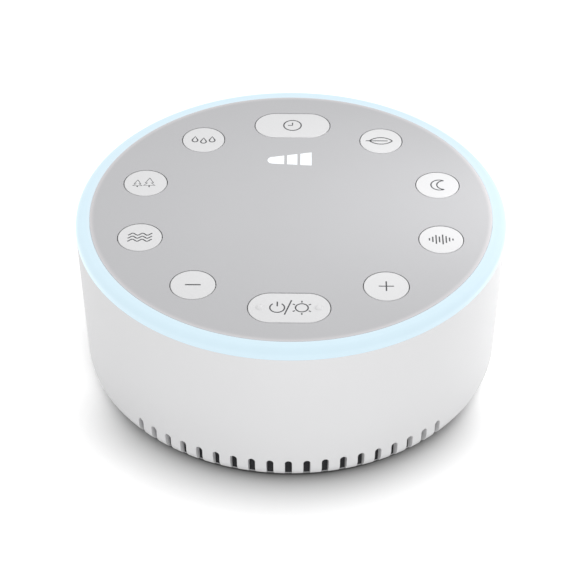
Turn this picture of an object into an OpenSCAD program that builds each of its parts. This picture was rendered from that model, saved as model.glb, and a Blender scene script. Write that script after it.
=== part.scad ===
// Round bedside sound machine: a low white drum with a lit ring round its top edge,
// ten press keys in a flush grey plate, a row of vent slots low at the front and a
// loudspeaker inside that fires down into the vented chamber.
// Millimetres. +Z is up and the floor is z = 0. The front, with the power key, faces -Y.

/* [Body] */
// Outer diameter, across the light ring
body_d = 111; // [104:1:140]
// Height from the floor to the face plate
body_h = 45; // [44:1:60]
// Radius that the side wall loses from the ring down to its bottom rounding
side_taper = 1.2; // [0.1:0.1:1.6]
// Rounding of the bottom edge
bottom_round = 4; // [3:0.1:4.5]
// Thickness of the housing wall
wall = 2; // [1.6:0.1:2.4]
// Gap between the floor and the underside of the base
foot_gap = 1.4; // [1:0.1:3]
// Height of the seam between housing and base above the underside
seam_rise = 0.8; // [0.7:0.1:1.1]

/* [Vent slots] */
// Number of slots, an odd number so that one is in the middle
slot_count = 19; // [9:2:21]
// Angle from slot to slot
slot_pitch = 4.9; // [4:0.1:5.2]
// Width of a slot
slot_w = 1.75; // [1:0.05:2]
// Height of a slot's round top above the floor
slot_top = 7.8; // [6:0.1:8.5]

/* [Light ring] */
// Width of the ring seen from above
ring_w = 3.6; // [2.8:0.1:4]
// Height of the ring seen from the side
ring_h = 2.95; // [2.2:0.05:4]
// Rounding of the ring's outer top edge
ring_round = 1.8; // [0.3:0.1:2.2]
// Thickness of the tongue that takes the light up into the ring
tongue_t = 0.95; // [0.6:0.05:1]

/* [Face plate] */
// Thickness of the face plate
plate_t = 1.6; // [1.2:0.01:2]
// Bevel of the plate's rim
plate_bevel = 0.2; // [0.1:0.1:0.5]
// Clearance between pieces that are pushed together
fit_gap = 0.15; // [0.05:0.05:0.2]

/* [Keys] */
// Diameter of a round key, and width of a long one
key_d = 11.2; // [9:0.1:13.6]
// Distance between the end centres of a long key
pill_span = 9; // [6:0.1:12]
// Clearance round a key in the plate
key_gap = 0.25; // [0.2:0.05:0.4]
// How far a key can be pressed
key_travel = 0.5; // [0.3:0.1:0.8]
// Distance of the timer key behind the centre
timer_key_y = 38.4; // [34:0.1:40]
// Distance of the power and light key in front of the centre
power_key_y = 39.2; // [34:0.1:40]
// Distance of the two back round keys from the centre
back_key_r = 39.45; // [36:0.05:40]
// Angle of the two back round keys above the X axis
back_key_a = 52.8; // [48:0.1:56]
// Distance of the four side keys from the centre
side_key_r = 39.95; // [36:0.05:40]
// Angle of the side keys above and below the X axis
side_key_a = 16.9; // [13:0.1:20]
// Distance of the two volume keys from the centre
front_key_r = 38.8; // [36:0.05:40]
// Angle of the two volume keys below the X axis
front_key_a = 52; // [48:0.1:56]
// Diameter of the stem under a key
stem_d = 3.2; // [2.4:0.01:4]

/* [Volume bars] */
// Distance of the bars' middle from the centre, to the left
bars_left = 0.6; // [-2:0.1:2]
// Distance of the bars' round end behind the centre
bars_y = 22.2; // [18:0.1:24]
// How much further back the middle of the tall end is
bars_rise = 0.7; // [0:0.1:1]
// Length of the first bar, with the round end
bar_1_len = 4.4; // [3.5:0.1:5]
// Length of the second bar
bar_2_len = 2.7; // [2.5:0.1:4]
// Length of the third bar, with the tall end
bar_3_len = 3; // [2.5:0.1:4]
// Width of the bars at their round end
bars_low = 3; // [2:0.1:4]
// Width of the bars at their tall end
bars_high = 5.9; // [5:0.1:8]
// Gap between two bars
bars_gap = 0.8; // [0.5:0.1:1.2]

/* [Loudspeaker] */
// Diameter of the loudspeaker's rim
speaker_d = 53; // [44:0.5:58]
// Height of the chamber between the base and the baffle
chamber_h = 7.1; // [6.5:0.1:9]
// Thickness of the baffle
baffle_t = 2; // [1.6:0.1:2.4]
// Diameter of the magnet
magnet_d = 32; // [26:1:34]
// Thickness of the magnet
magnet_t = 5; // [4:0.1:6]

/* [Power inlet] */
// Width of the inlet's metal shell
inlet_w = 8.9; // [7:0.1:11]
// Height of the inlet's metal shell
inlet_h = 3.2; // [3:0.1:4]
// Length of the inlet's metal shell
inlet_len = 7.4; // [6:0.1:9]
// Clearance round the inlet in the housing
inlet_gap = 0.3; // [0.2:0.05:0.5]

/* [Hidden] */
$fn = 96;

// Colours
white_plastic = [0.93, 0.93, 0.94];
plate_grey = [0.79, 0.79, 0.80];
key_white = [0.91, 0.91, 0.92];
ring_blue = [0.85, 0.95, 1.0];
board_green = [0.10, 0.35, 0.20];
part_black = [0.10, 0.10, 0.11];
bright_metal = [0.75, 0.75, 0.77];

// Length by which a cutting solid runs past the face that it cuts
over = 0.5;
// Length by which a web or stem runs into the piece that it is part of
bite = 0.3;

// Heights of the body, from the floor
base_z = foot_gap;
base_t = 1.5;
base_top = base_z + base_t;
seam_z = base_z + seam_rise;
seam_gap = 0.1;
lip_z = seam_z - seam_gap;
ring_z = body_h - ring_h;
plate_z = body_h - plate_t;
baffle_z = base_top + chamber_h;
baffle_top = baffle_z + baffle_t;

// Radii of the body
body_r = body_d / 2;
lower_r = body_r - side_taper;
wall_in_top = body_r - wall;
wall_in_low = lower_r - wall;
ring_in_r = body_r - ring_w;
tongue_out_r = wall_in_top - fit_gap;
tongue_in_r = tongue_out_r - tongue_t;
plate_r = ring_in_r - fit_gap;

// The round end of the bottom rounding, and the body's radius at a height within it
round_z = base_z + bottom_round;
round_r = lower_r - bottom_round;
function edge_r(z) = round_r + sqrt(bottom_round ^ 2 - (round_z - z) ^ 2);

// Cloth behind the slots: it stands on the base's lip, in a rebate of the base
cloth_t = 0.4;
cloth_gap = 0.05;
cloth_out_r = wall_in_low - cloth_gap;
cloth_half_turn = slot_count * slot_pitch / 2 + 1;
cloth_above_slots = 1.2;

// Keys: the flange rests under the plate, and the deck stops the press
key_r = key_d / 2;
key_edge = 0.2;
key_top_t = 1.2;
key_wall = 1;
key_lip = 0.9;
flange_t = 0.9;
float_gap = 0.05;
spare_travel = 0.3;
flange_top = plate_z - float_gap;
flange_z = flange_top - flange_t;
bump_x = 7.25;
bump_r = 1;
bump_h = 0.45;

// Key deck, which guides the stems and carries the board
deck_top = flange_z - key_travel - spare_travel;
deck_t = 1.6;
deck_z = deck_top - deck_t;
deck_rim_w = 1.6;
deck_rim_drop = 0.8;
deck_r = min(plate_r, tongue_in_r - fit_gap);
deck_foot_h = 1.45;
deck_seat_z = deck_z - deck_foot_h;
guide_gap = 0.3;
guide_wall = 1.1;
guide_h = 1.05;
guide_z = deck_z - guide_h;
peg_r = 1.2;
peg_place = 30;
peg_turn = [0, 35, 145, 180, 215, 325];
peg_len = 2.4;

// Main board and its switches
board_drop = 6.65;
board_t = 1.6;
board_top = deck_z - board_drop;
board_z = board_top - board_t;
board_edge_gap = 4.2;
board_r = wall_in_top - board_edge_gap;
switch_w = 6;
switch_h = 3.5;
plunger_d = 3.3;
plunger_rise = 1.5;
plunger_in = 1.2;
switch_top = board_top + switch_h;
plunger_top = switch_top + plunger_rise;
post_d = 6;
post_place = 26;
post_turn = [45, 135, 225, 315];

// Columns of the housing: base screws come up into them, deck screws down
column_d = 6.4;
column_gap = 0.4;
column_place = wall_in_low - column_d / 2 - column_gap;
column_turn = [35, 145, 215, 325];
notch_gap = 0.4;

// Holes for screws: tight and a little too deep where one grips, wide where it passes
grip_gap = 0.05;
hole_spare = 1;
pass_gap = 0.2;

// Screws: radius of the shank, radius and height of the head
long_shank_r = 1.25;
long_head_r = 2.6;
long_head_h = 1.7;
small_shank_r = 1;
small_head_r = 2;
small_head_h = 1.3;
base_screw_in = 7;
small_screw_in = 5;
board_screw_in = 4;
inlet_screw_in = 1.5;
head_recess = 2;

// Foot ring
foot_in_r = 38.5;
foot_out_r = 43.5;
foot_recess = 0.6;
foot_bevel = 0.4;

// Where the keys are
function polar(r, a) = [r * cos(a), r * sin(a)];
function mirrored(p) = [-p[0], p[1]];
timer_at = [0, timer_key_y];
power_at = [0, -power_key_y];
relax_at = polar(back_key_r, back_key_a);
calm_at = polar(side_key_r, side_key_a);
noise_at = polar(side_key_r, -side_key_a);
plus_at = polar(front_key_r, -front_key_a);
rain_at = mirrored(relax_at);
forest_at = mirrored(calm_at);
ocean_at = mirrored(noise_at);
minus_at = mirrored(plus_at);
round_keys = [relax_at, calm_at, noise_at, plus_at, rain_at, forest_at, ocean_at, minus_at];
pill_keys = [timer_at, power_at];
all_keys = concat(round_keys, pill_keys);

// Volume bars and their light guide
guide_border = 1.4;
bar_lens = [bar_1_len, bar_2_len, bar_3_len];
bars_len = bar_1_len + bar_2_len + bar_3_len + 2 * bars_gap;
bar_from = [-bars_len / 2, -bars_len / 2 + bar_1_len + bars_gap, bars_len / 2 - bar_3_len];
bar_mid = bar_from + bar_lens / 2;
guide_block = [bars_len + 2 * guide_border, bars_high + 2 * guide_border];
guide_block_t = 1.1;
volume_lamp = [2, 1.6, 0.8];
leg_over_lamp = 0.3;
bar_leg = [2.4, 4];
bar_leg_gap = 0.5;
bar_leg_field = [bar_mid[2] - bar_mid[0] + bar_leg[0] + 2 * bar_leg_gap,
    bar_leg[1] + 2 * bar_leg_gap];

// Loudspeaker: heights count up from the baffle, radii from its axis
speaker_r = speaker_d / 2;
gasket_t = 0.6;
rim_t = 1;
rim_w = 4.5;
rim_in_r = speaker_r - rim_w;
rim_z = baffle_top + gasket_t;
basket_h = 9.2;
basket_top_z = rim_z + basket_h;
basket_neck_r = 15.5;
basket_wall = 1;
basket_end_t = 1.2;
spider_ledge_r = 12.8;
spider_glue_w = 2;
top_plate_t = 1.6;
coil_r = 6.5;
coil_wire = 0.3;
air_gap = 0.35;
former_t = 0.3;
pole_r = coil_r - former_t - air_gap;
plate_bore_r = coil_r + coil_wire + air_gap;
magnet_z = basket_top_z + top_plate_t;
magnet_top = magnet_z + magnet_t;
yoke_t = 1.4;
steel_inset = 1;
ear_r = 3.2;
ear_out = 1.5;
ear_place = speaker_r + ear_out;
ear_turn = [0, 90, 180, 270];
ear_swing = 45;
baffle_open_r = rim_in_r + 1;
gasket_in_r = baffle_open_r + 1.2;
roll_r = 1.5;
roll_t = 0.4;
roll_place = rim_in_r - roll_r;
cone_edge_r = roll_place - roll_r;
cone_edge_z = rim_z;
cone_t = 0.4;
cone_h = 5.6;
cone_mid_h = 2.13;
glue_gap = 0.02;
cone_neck_z = rim_z + cone_h;
cone_neck_r = coil_r + glue_gap;
cone_mid_r = (cone_edge_r + coil_r) / 2;
cone_mid_z = cone_edge_z + cone_mid_h;
function cone_face_z(r) = cone_neck_z - cone_t
    - (r - cone_neck_r) * (cone_neck_z - cone_t - cone_mid_z) / (cone_mid_r - cone_neck_r);
spider_t = 0.4;
spider_z = basket_top_z - basket_end_t - spider_t;

// Power inlet, on its own small board above the baffle
inlet_board_size = [16, 13, 1.2];
inlet_boss_h = 1.2;
inlet_board_z = baffle_top + inlet_boss_h;
inlet_board_top = inlet_board_z + inlet_board_size[2];
inlet_z = inlet_board_top + inlet_h / 2;
inlet_shell_t = 0.35;
inlet_set_back = 0.4;
inlet_overhang = 3;
function wall_out_r(z) = lower_r + side_taper * (z - round_z) / (ring_z - round_z);
inlet_mouth_y = wall_out_r(inlet_z) - inlet_set_back;
inlet_back_y = inlet_mouth_y - inlet_len;
inlet_board_y = inlet_mouth_y - inlet_overhang - inlet_board_size[1] / 2;
inlet_screw_at = [6, inlet_board_y - 3];
inlet_boss_r = 2.2;

// Leads inside
wire_r = 0.6;
wire_bend = 2;
wire_pitch = 2.5;
header_size = [7.5, 5.5, 2.8];
lead_in_board = 1.6;
lead_run = 1;
lead_in_header = 2;
lead_end_z = board_z - header_size[2] / 2;
power_lead_y = inlet_board_y - inlet_board_size[1] / 2 + lead_in_board;
power_header_y = power_lead_y - wire_bend - lead_run - header_size[1] / 2;
speaker_lead_y = speaker_r + 3;
speaker_header_y = speaker_lead_y - wire_bend - lead_run - header_size[1] / 2;
terminal_strip = [9, 1, 4.5];
terminal_y = rim_in_r + 2.2;
terminal_z = rim_z + rim_t;
tag = [1.6, 1.6, 0.4];
tag_y = terminal_y + terminal_strip[1];
tag_z = terminal_z + 2;

// ---- shared shapes ----

// Draws its flat children as a solid between two heights
module slab(z0, z1) {
    translate([0, 0, z0]) linear_extrude(z1 - z0) children();
}

// Puts its children on a circle round the Z axis
module on_circle(r, a) {
    rotate([0, 0, a]) translate([r, 0, 0]) children();
}

module tube(r_in, r_out, z0, z1) {
    slab(z0, z1) difference() {
        circle(r = r_out);
        circle(r = r_in);
    }
}

// A strip with round ends, as long between its end centres as span
module obround(span, r) {
    if (span > 0) square([span, 2 * r], center = true);
    for (s = [-1, 1]) translate([s * span / 2, 0]) circle(r = r);
}

// A block with a rounded top edge: round where span is 0, else with round ends
module soft_block(span, r, z0, z1, edge) {
    h = z1 - z0;
    translate([0, 0, z0]) if (span == 0) {
        rotate_extrude() soft_profile(r, h, edge);
    } else {
        for (s = [-1, 1])
            translate([s * span / 2, 0, 0]) rotate([0, 0, -90 * s]) rotate_extrude(angle = 180)
                soft_profile(r, h, edge);
        rotate([90, 0, 90]) linear_extrude(span, center = true) {
            soft_profile(r, h, edge);
            mirror([1, 0]) soft_profile(r, h, edge);
        }
    }
}

module soft_profile(r, h, edge) {
    square([r, h - edge]);
    square([r - edge, h]);
    translate([r - edge, h - edge]) intersection() {
        circle(r = edge);
        square(edge);
    }
}

// A screw with its head's underside at z, pointing down, or up where dir is 1
module screw(z, len, shank_r, head_r, head_h, dir) {
    head_taper = 0.35;
    cross_depth = 0.45;
    cross_reach = 1.2;
    cross_w = 0.5;
    translate([0, 0, z]) mirror([0, 0, dir > 0 ? 1 : 0]) difference() {
        union() {
            translate([0, 0, -len]) cylinder(r = shank_r, h = len + head_h / 2);
            cylinder(r1 = head_r, r2 = head_r - head_taper, h = head_h);
        }
        slab(head_h * cross_depth, head_h + over) for (a = [0, 90])
            rotate(a) square([head_r * cross_reach, cross_w], center = true);
    }
}

// ---- shell of the body ----

// Half section of the whole drum below the ring, filled to the axis
module drum_section() {
    polygon([[0, base_z], [round_r, base_z], [lower_r, round_z], [body_r, ring_z],
        [0, ring_z]]);
    translate([round_r, round_z]) circle(r = bottom_round);
}

module housing() {
    color(white_plastic) difference() {
        union() {
            rotate_extrude() housing_section();
            for (a = column_turn) on_circle(column_place, a) column();
        }
        for (i = [0 : slot_count - 1])
            rotate([0, 0, -90 + (i - (slot_count - 1) / 2) * slot_pitch]) slot();
        inlet_opening();
        for (a = column_turn) on_circle(column_place, a) {
            translate([0, 0, baffle_top - over])
                cylinder(r = long_shank_r + grip_gap, h = base_screw_in + hole_spare + over);
            translate([0, 0, deck_seat_z - small_screw_in - hole_spare])
                cylinder(r = small_shank_r + grip_gap, h = small_screw_in + hole_spare + over);
        }
    }
}

module housing_section() {
    difference() {
        drum_section();
        polygon([[-over, -over], [wall_in_low, -over], [wall_in_low, round_z],
            [wall_in_top, ring_z + over], [-over, ring_z + over]]);
        translate([-bottom_round, -over]) square([body_d, seam_z + over]);
    }
}

// A screw column with the web that ties it to the wall
module column() {
    translate([0, 0, baffle_top]) cylinder(d = column_d, h = deck_seat_z - baffle_top);
    translate([0, -wall / 2, baffle_top])
        cube([wall_in_top - column_place + bite, wall, deck_seat_z - baffle_top]);
}

// One vent: straight sides, a round top, and open down through the wall's lower edge
module slot() {
    mid_z = slot_top - slot_w / 2;
    translate([wall_in_low - over, 0, 0]) rotate([90, 0, 90]) linear_extrude(wall + 2 * over) {
        translate([-slot_w / 2, 0]) square([slot_w, mid_z]);
        translate([0, mid_z]) circle(d = slot_w);
    }
}

module inlet_opening() {
    translate([0, wall_in_low - over, inlet_z]) rotate([-90, 0, 0])
        linear_extrude(wall + side_taper + 2 * over)
            obround(inlet_w - inlet_h, inlet_h / 2 + inlet_gap);
}

// The base: its lower step carries the drum's rounding on below the seam, and its
// upper step fits inside the wall
module base_plate() {
    rib_h = 1.5;
    rib_t = 1.2;
    rib_in = 12;
    rib_out = foot_in_r - 2;
    rebate_end = 0.5;
    color(white_plastic) difference() {
        union() {
            rotate_extrude() base_section();
            for (r = [rib_in, rib_out]) tube(r - rib_t, r, base_top - bite, base_top + rib_h);
            slab(base_top - bite, base_top + rib_h) for (a = [0 : 45 : 315])
                rotate(a) translate([rib_in - rib_t / 2, -rib_t / 2])
                    square([rib_out - rib_in, rib_t]);
            for (a = column_turn) on_circle(column_place, a)
                translate([0, 0, base_top - bite])
                    cylinder(d = column_d, h = baffle_z - base_top + bite);
        }
        tube(foot_in_r - fit_gap, foot_out_r + fit_gap, base_z - over, base_z + foot_recess);
        rotate([0, 0, -90 - cloth_half_turn - rebate_end])
            rotate_extrude(angle = 2 * (cloth_half_turn + rebate_end))
                translate([cloth_out_r - cloth_t - fit_gap, lip_z])
                    square([wall, base_top - lip_z + over]);
        for (a = column_turn) on_circle(column_place, a) {
            translate([0, 0, base_z - over])
                cylinder(r = long_head_r + pass_gap, h = head_recess + over);
            translate([0, 0, base_z])
                cylinder(r = long_shank_r + pass_gap, h = baffle_z - base_z + over);
        }
    }
}

module base_section() {
    difference() {
        intersection() {
            drum_section();
            translate([0, base_z]) square([body_r, lip_z - base_z]);
        }
        translate([-body_d, 0]) square([body_d, base_top]);
    }
    translate([0, base_z]) square([wall_in_low - fit_gap, base_t]);
}

module foot_ring() {
    color(part_black) rotate_extrude() polygon([
        [foot_in_r, base_z + foot_recess], [foot_out_r, base_z + foot_recess],
        [foot_out_r, foot_bevel], [foot_out_r - foot_bevel, 0],
        [foot_in_r + foot_bevel, 0], [foot_in_r, foot_bevel]]);
}

// Black cloth glued inside the wall behind the slots
module vent_cloth() {
    cloth_top = min(slot_top + cloth_above_slots, baffle_z - cloth_gap);
    color(part_black) rotate([0, 0, -90 - cloth_half_turn])
        rotate_extrude(angle = 2 * cloth_half_turn)
            translate([cloth_out_r - cloth_t, lip_z]) square([cloth_t, cloth_top - lip_z]);
}

// ---- top of the body ----

// Diffuser: a cap over the wall's top edge with a tongue down inside the wall
module light_ring() {
    tongue_lift = 0.8;
    tongue_z = deck_seat_z + tongue_lift;
    tongue_root = max(tongue_in_r, ring_in_r);
    color(ring_blue) rotate_extrude() {
        difference() {
            translate([ring_in_r, ring_z]) square([ring_w, ring_h]);
            translate([body_r - ring_round, body_h - ring_round]) difference() {
                square(ring_round + over);
                circle(r = ring_round);
            }
            translate([ring_in_r - over, ring_z - over])
                square([wall_in_top - ring_in_r + over, plate_z - ring_z + over]);
        }
        translate([tongue_in_r, tongue_z]) square([tongue_t, plate_z - tongue_z]);
        translate([tongue_root, plate_z - bite]) square([tongue_out_r - tongue_root, 2 * bite]);
    }
}

module face_plate() {
    color(plate_grey) difference() {
        union() {
            rotate_extrude() polygon([[0, plate_z], [plate_r, plate_z],
                [plate_r, body_h - plate_bevel], [plate_r - plate_bevel, body_h],
                [0, body_h]]);
            for (a = peg_turn) on_circle(peg_place, a)
                translate([0, 0, plate_z - peg_len]) cylinder(r = peg_r, h = peg_len + bite);
        }
        slab(plate_z - over, body_h + over) {
            for (p = round_keys) translate(p) circle(r = key_r + key_gap);
            for (p = pill_keys) translate(p) obround(pill_span, key_r + key_gap);
            translate([-bars_left, bars_y]) volume_bars(fit_gap);
        }
    }
}

// The three bars as flat outlines, each grown by gap: a wedge with one round end
module volume_bars(gap) {
    tip_x = -bars_len / 2 + bars_low / 2;
    for (i = [0 : 2]) intersection() {
        union() {
            translate([tip_x, 0]) circle(r = bars_low / 2 + gap);
            polygon([[tip_x, -bars_low / 2 - gap],
                [bars_len / 2 + gap, bars_rise - bars_high / 2 - gap],
                [bars_len / 2 + gap, bars_rise + bars_high / 2 + gap],
                [tip_x, bars_low / 2 + gap]]);
        }
        translate([bar_from[i] - gap, -bars_high])
            square([bar_lens[i] + 2 * gap, 2 * bars_high]);
    }
}

// Light guide: bars flush in the plate, a block under it and a leg over each lamp
module volume_window() {
    color("white") translate([-bars_left, bars_y, 0]) {
        slab(plate_z - bite, body_h) volume_bars(0);
        slab(plate_z - guide_block_t, plate_z)
            translate([0, bars_rise]) square(guide_block, center = true);
        slab(board_top + volume_lamp[2] + leg_over_lamp, plate_z - guide_block_t + bite)
            for (x = bar_mid) translate([x, 0]) square(bar_leg, center = true);
    }
}

// Deck under the plate: rim for the plate, guides for the stems, feet on the columns
// and posts for the board
module key_deck() {
    color(white_plastic) difference() {
        union() {
            slab(deck_z, deck_top) circle(r = deck_r);
            tube(deck_r - deck_rim_w, deck_r, deck_z - deck_rim_drop, plate_z);
            for (p = all_keys) translate(p) translate([0, 0, guide_z])
                cylinder(r = stem_d / 2 + guide_gap + guide_wall, h = deck_z - guide_z + bite);
            for (a = column_turn) on_circle(column_place, a)
                translate([0, 0, deck_seat_z]) cylinder(d = column_d, h = deck_z - deck_seat_z + bite);
            for (a = post_turn) on_circle(post_place, a)
                translate([0, 0, board_top]) cylinder(d = post_d, h = deck_z - board_top + bite);
        }
        for (p = all_keys) translate(p) translate([0, 0, guide_z - over])
            cylinder(r = stem_d / 2 + guide_gap, h = deck_top - guide_z + 2 * over);
        for (a = column_turn) on_circle(column_place, a) {
            translate([0, 0, deck_seat_z - over])
                cylinder(r = small_shank_r + pass_gap, h = deck_top - deck_seat_z + 2 * over);
            translate([0, 0, deck_top]) cylinder(r = small_head_r + guide_gap, h = plate_z);
        }
        for (a = post_turn) on_circle(post_place, a) translate([0, 0, board_top - over])
            cylinder(r = small_shank_r + grip_gap, h = board_screw_in + hole_spare + over);
        for (a = peg_turn) on_circle(peg_place, a) translate([0, 0, deck_z - over])
            cylinder(r = peg_r + fit_gap / 2, h = deck_t + 2 * over);
        translate([(bar_mid[0] + bar_mid[2]) / 2 - bars_left, bars_y])
            slab(deck_z - over, deck_top + over) square(bar_leg_field, center = true);
    }
}

// ---- keys and switches ----

// A hollow key with a flange that holds it under the plate and a stem to its switch
module key(at, span) {
    translate(at) {
        difference() {
            union() {
                soft_block(span, key_r, flange_z, body_h, key_edge);
                slab(flange_z, flange_top) obround(span, key_r + key_lip);
            }
            slab(flange_z - over, body_h - key_top_t) obround(span, key_r - key_wall);
        }
        translate([0, 0, plunger_top])
            cylinder(d = stem_d, h = body_h - key_top_t - plunger_top + bite);
    }
}

module timer_key() { color(key_white) key(timer_at, pill_span); }

// The power and light key also has two raised dots to find it in the dark
module power_light_key() {
    ball_r = (bump_r ^ 2 + bump_h ^ 2) / (2 * bump_h);
    color(key_white) {
        key(power_at, pill_span);
        for (s = [-1, 1]) translate(power_at) translate([s * bump_x, 0, body_h - bite])
            intersection() {
                translate([0, 0, bump_h + bite - ball_r]) sphere(r = ball_r);
                cylinder(r = bump_r, h = bump_h + 2 * bite);
            }
    }
}

module rain_key() { color(key_white) key(rain_at, 0); }
module forest_key() { color(key_white) key(forest_at, 0); }
module ocean_key() { color(key_white) key(ocean_at, 0); }
module relax_key() { color(key_white) key(relax_at, 0); }
module calm_key() { color(key_white) key(calm_at, 0); }
module white_noise_key() { color(key_white) key(noise_at, 0); }
module volume_down_key() { color(key_white) key(minus_at, 0); }
module volume_up_key() { color(key_white) key(plus_at, 0); }

// The switch's own button, which the stem stands on
module plunger(at) {
    translate(at) translate([0, 0, switch_top - plunger_in])
        cylinder(d = plunger_d, h = plunger_in + plunger_rise);
}

module timer_plunger() { color(part_black) plunger(timer_at); }
module power_light_plunger() { color(part_black) plunger(power_at); }
module rain_plunger() { color(part_black) plunger(rain_at); }
module forest_plunger() { color(part_black) plunger(forest_at); }
module ocean_plunger() { color(part_black) plunger(ocean_at); }
module relax_plunger() { color(part_black) plunger(relax_at); }
module calm_plunger() { color(part_black) plunger(calm_at); }
module white_noise_plunger() { color(part_black) plunger(noise_at); }
module volume_down_plunger() { color(part_black) plunger(minus_at); }
module volume_up_plunger() { color(part_black) plunger(plus_at); }

module switch_bodies() {
    color(bright_metal) for (p = all_keys) translate(p) difference() {
        slab(board_top, switch_top) square(switch_w, center = true);
        translate([0, 0, switch_top - plunger_in - key_travel - guide_gap])
            cylinder(d = plunger_d + 2 * guide_gap, h = plunger_in + key_travel + guide_gap + over);
    }
}

// ---- main board ----

module main_board() {
    notch_r = column_d / 2 + notch_gap;
    color(board_green) slab(board_z, board_top) difference() {
        circle(r = board_r);
        for (a = column_turn) on_circle(column_place, a) {
            circle(r = notch_r);
            translate([0, -notch_r]) square(2 * notch_r);
        }
        for (a = post_turn) on_circle(post_place, a) circle(r = small_shank_r + pass_gap);
    }
}

// Lamps near the board's edge, which shine up and out into the ring's tongue
module ring_lamps() {
    lamp = [2.8, 3.5, 1.6];
    lamp_count = 20;
    pitch = 360 / lamp_count;
    place = board_r - 2.2;
    color("white") for (i = [0 : lamp_count - 1]) on_circle(place, (i + 0.5) * pitch)
        translate([-lamp[0] / 2, -lamp[1] / 2, board_top]) cube(lamp);
}

module volume_lamps() {
    color("white") slab(board_top, board_top + volume_lamp[2]) for (x = bar_mid)
        translate([x - bars_left, bars_y]) square([volume_lamp[0], volume_lamp[1]], center = true);
}

// Controller, sound memory and amplifier: each is a corner's place and a size, and
// their legs are left out
module control_chips() {
    chips = [[[-14, -2], [10, 10, 1.4]], [[6, 2], [5.3, 5.3, 1.6]], [[-3, -15], [6, 5, 1.5]]];
    color(part_black) for (c = chips) translate([c[0][0], c[0][1], board_top]) cube(c[1]);
}

// Aluminium cans on square feet
module capacitors() {
    can_d = 5;
    can_h = 5.4;
    foot_w = 5.3;
    foot_h = 0.8;
    places = [[12, -12], [19, -7], [-12, -14]];
    color(bright_metal) for (p = places) translate([p[0], p[1], board_top]) {
        cylinder(d = can_d, h = can_h);
        slab(0, foot_h) square(foot_w, center = true);
    }
}

// A plug-in header under the board; leads come in at its back face
module header(y) {
    hole_gap = 0.1;
    color("ivory") translate([0, y, board_z - header_size[2]]) difference() {
        translate([-header_size[0] / 2, -header_size[1] / 2, 0]) cube(header_size);
        for (s = [-1, 1]) translate([s * wire_pitch / 2, 0, header_size[2] / 2])
            rotate([-90, 0, 0]) cylinder(r = wire_r + hole_gap, h = header_size[1]);
    }
}

module power_header() { header(power_header_y); }
module speaker_header() { header(speaker_header_y); }

// ---- loudspeaker, firing down ----

module speaker_baffle() {
    boss_r = 2.8;
    boss_h = small_screw_in - baffle_t;
    color(part_black) difference() {
        union() {
            slab(baffle_z, baffle_top) circle(r = wall_in_low - 2 * fit_gap);
            for (a = ear_turn) on_circle(ear_place, a + ear_swing)
                translate([0, 0, baffle_z - boss_h]) cylinder(r = boss_r, h = boss_h + bite);
            for (s = [-1, 1]) translate([s * inlet_screw_at[0], inlet_screw_at[1], baffle_top - bite])
                cylinder(r = inlet_boss_r, h = inlet_boss_h + bite);
        }
        slab(baffle_z - over, baffle_top + over) circle(r = baffle_open_r);
        for (a = column_turn) on_circle(column_place, a)
            translate([0, 0, baffle_z - over])
                cylinder(r = long_shank_r + pass_gap, h = baffle_t + 2 * over);
        for (a = ear_turn) on_circle(ear_place, a + ear_swing)
            translate([0, 0, baffle_top - small_screw_in])
                cylinder(r = small_shank_r + grip_gap, h = small_screw_in + over);
        for (s = [-1, 1]) translate([s * inlet_screw_at[0], inlet_screw_at[1], baffle_z - over])
            cylinder(r = small_shank_r + grip_gap, h = baffle_t + inlet_boss_h + 2 * over);
    }
}

// Foam ring between the loudspeaker's rim and the baffle
module speaker_gasket() {
    color(part_black) tube(gasket_in_r, speaker_r, baffle_top, rim_z);
}

// Pressed frame: rim with four ears, open basket and the neck that holds the magnet
module speaker_frame() {
    wall_low_r = rim_in_r + 1.2;
    step_h = 1;
    thin = 0.4;
    color(bright_metal) difference() {
        union() {
            slab(rim_z, rim_z + rim_t) {
                circle(r = speaker_r);
                for (a = ear_turn) on_circle(ear_place, a + ear_swing) circle(r = ear_r);
            }
            rotate_extrude() polygon([[0, rim_z], [wall_low_r + basket_wall, rim_z],
                [wall_low_r + basket_wall, rim_z + rim_t + step_h],
                [basket_neck_r, basket_top_z], [0, basket_top_z]]);
        }
        rotate_extrude() polygon([[0, rim_z - over], [rim_in_r, rim_z - over],
            [rim_in_r, rim_z + rim_t], [wall_low_r - thin, rim_z + rim_t + step_h],
            [basket_neck_r - basket_wall - thin, basket_top_z - basket_end_t],
            [0, basket_top_z - basket_end_t]]);
        slab(rim_z, basket_top_z + over) circle(r = spider_ledge_r - spider_glue_w);
        for (a = ear_turn) rotate([0, 0, a]) basket_window();
        for (a = ear_turn) on_circle(ear_place, a + ear_swing)
            translate([0, 0, rim_z - over])
                cylinder(r = small_shank_r + pass_gap, h = rim_t + 2 * over);
    }
}

module basket_window() {
    low = rim_z + rim_t + 1.4;
    high = basket_top_z - 2;
    w = 15;
    in_r = basket_neck_r - 2.5;
    translate([in_r, -w / 2, low]) cube([speaker_r, w, high - low]);
}

module speaker_top_plate() {
    color(bright_metal) tube(plate_bore_r, magnet_d / 2 - steel_inset, basket_top_z, magnet_z);
}

module speaker_magnet() {
    bore_r = plate_bore_r + 1.5;
    color([0.22, 0.22, 0.23]) tube(bore_r, magnet_d / 2, magnet_z, magnet_top);
}

module speaker_yoke() {
    color(bright_metal) {
        slab(magnet_top, magnet_top + yoke_t) circle(r = magnet_d / 2 - steel_inset);
        slab(basket_top_z, magnet_top + bite) circle(r = pole_r);
    }
}

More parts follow.
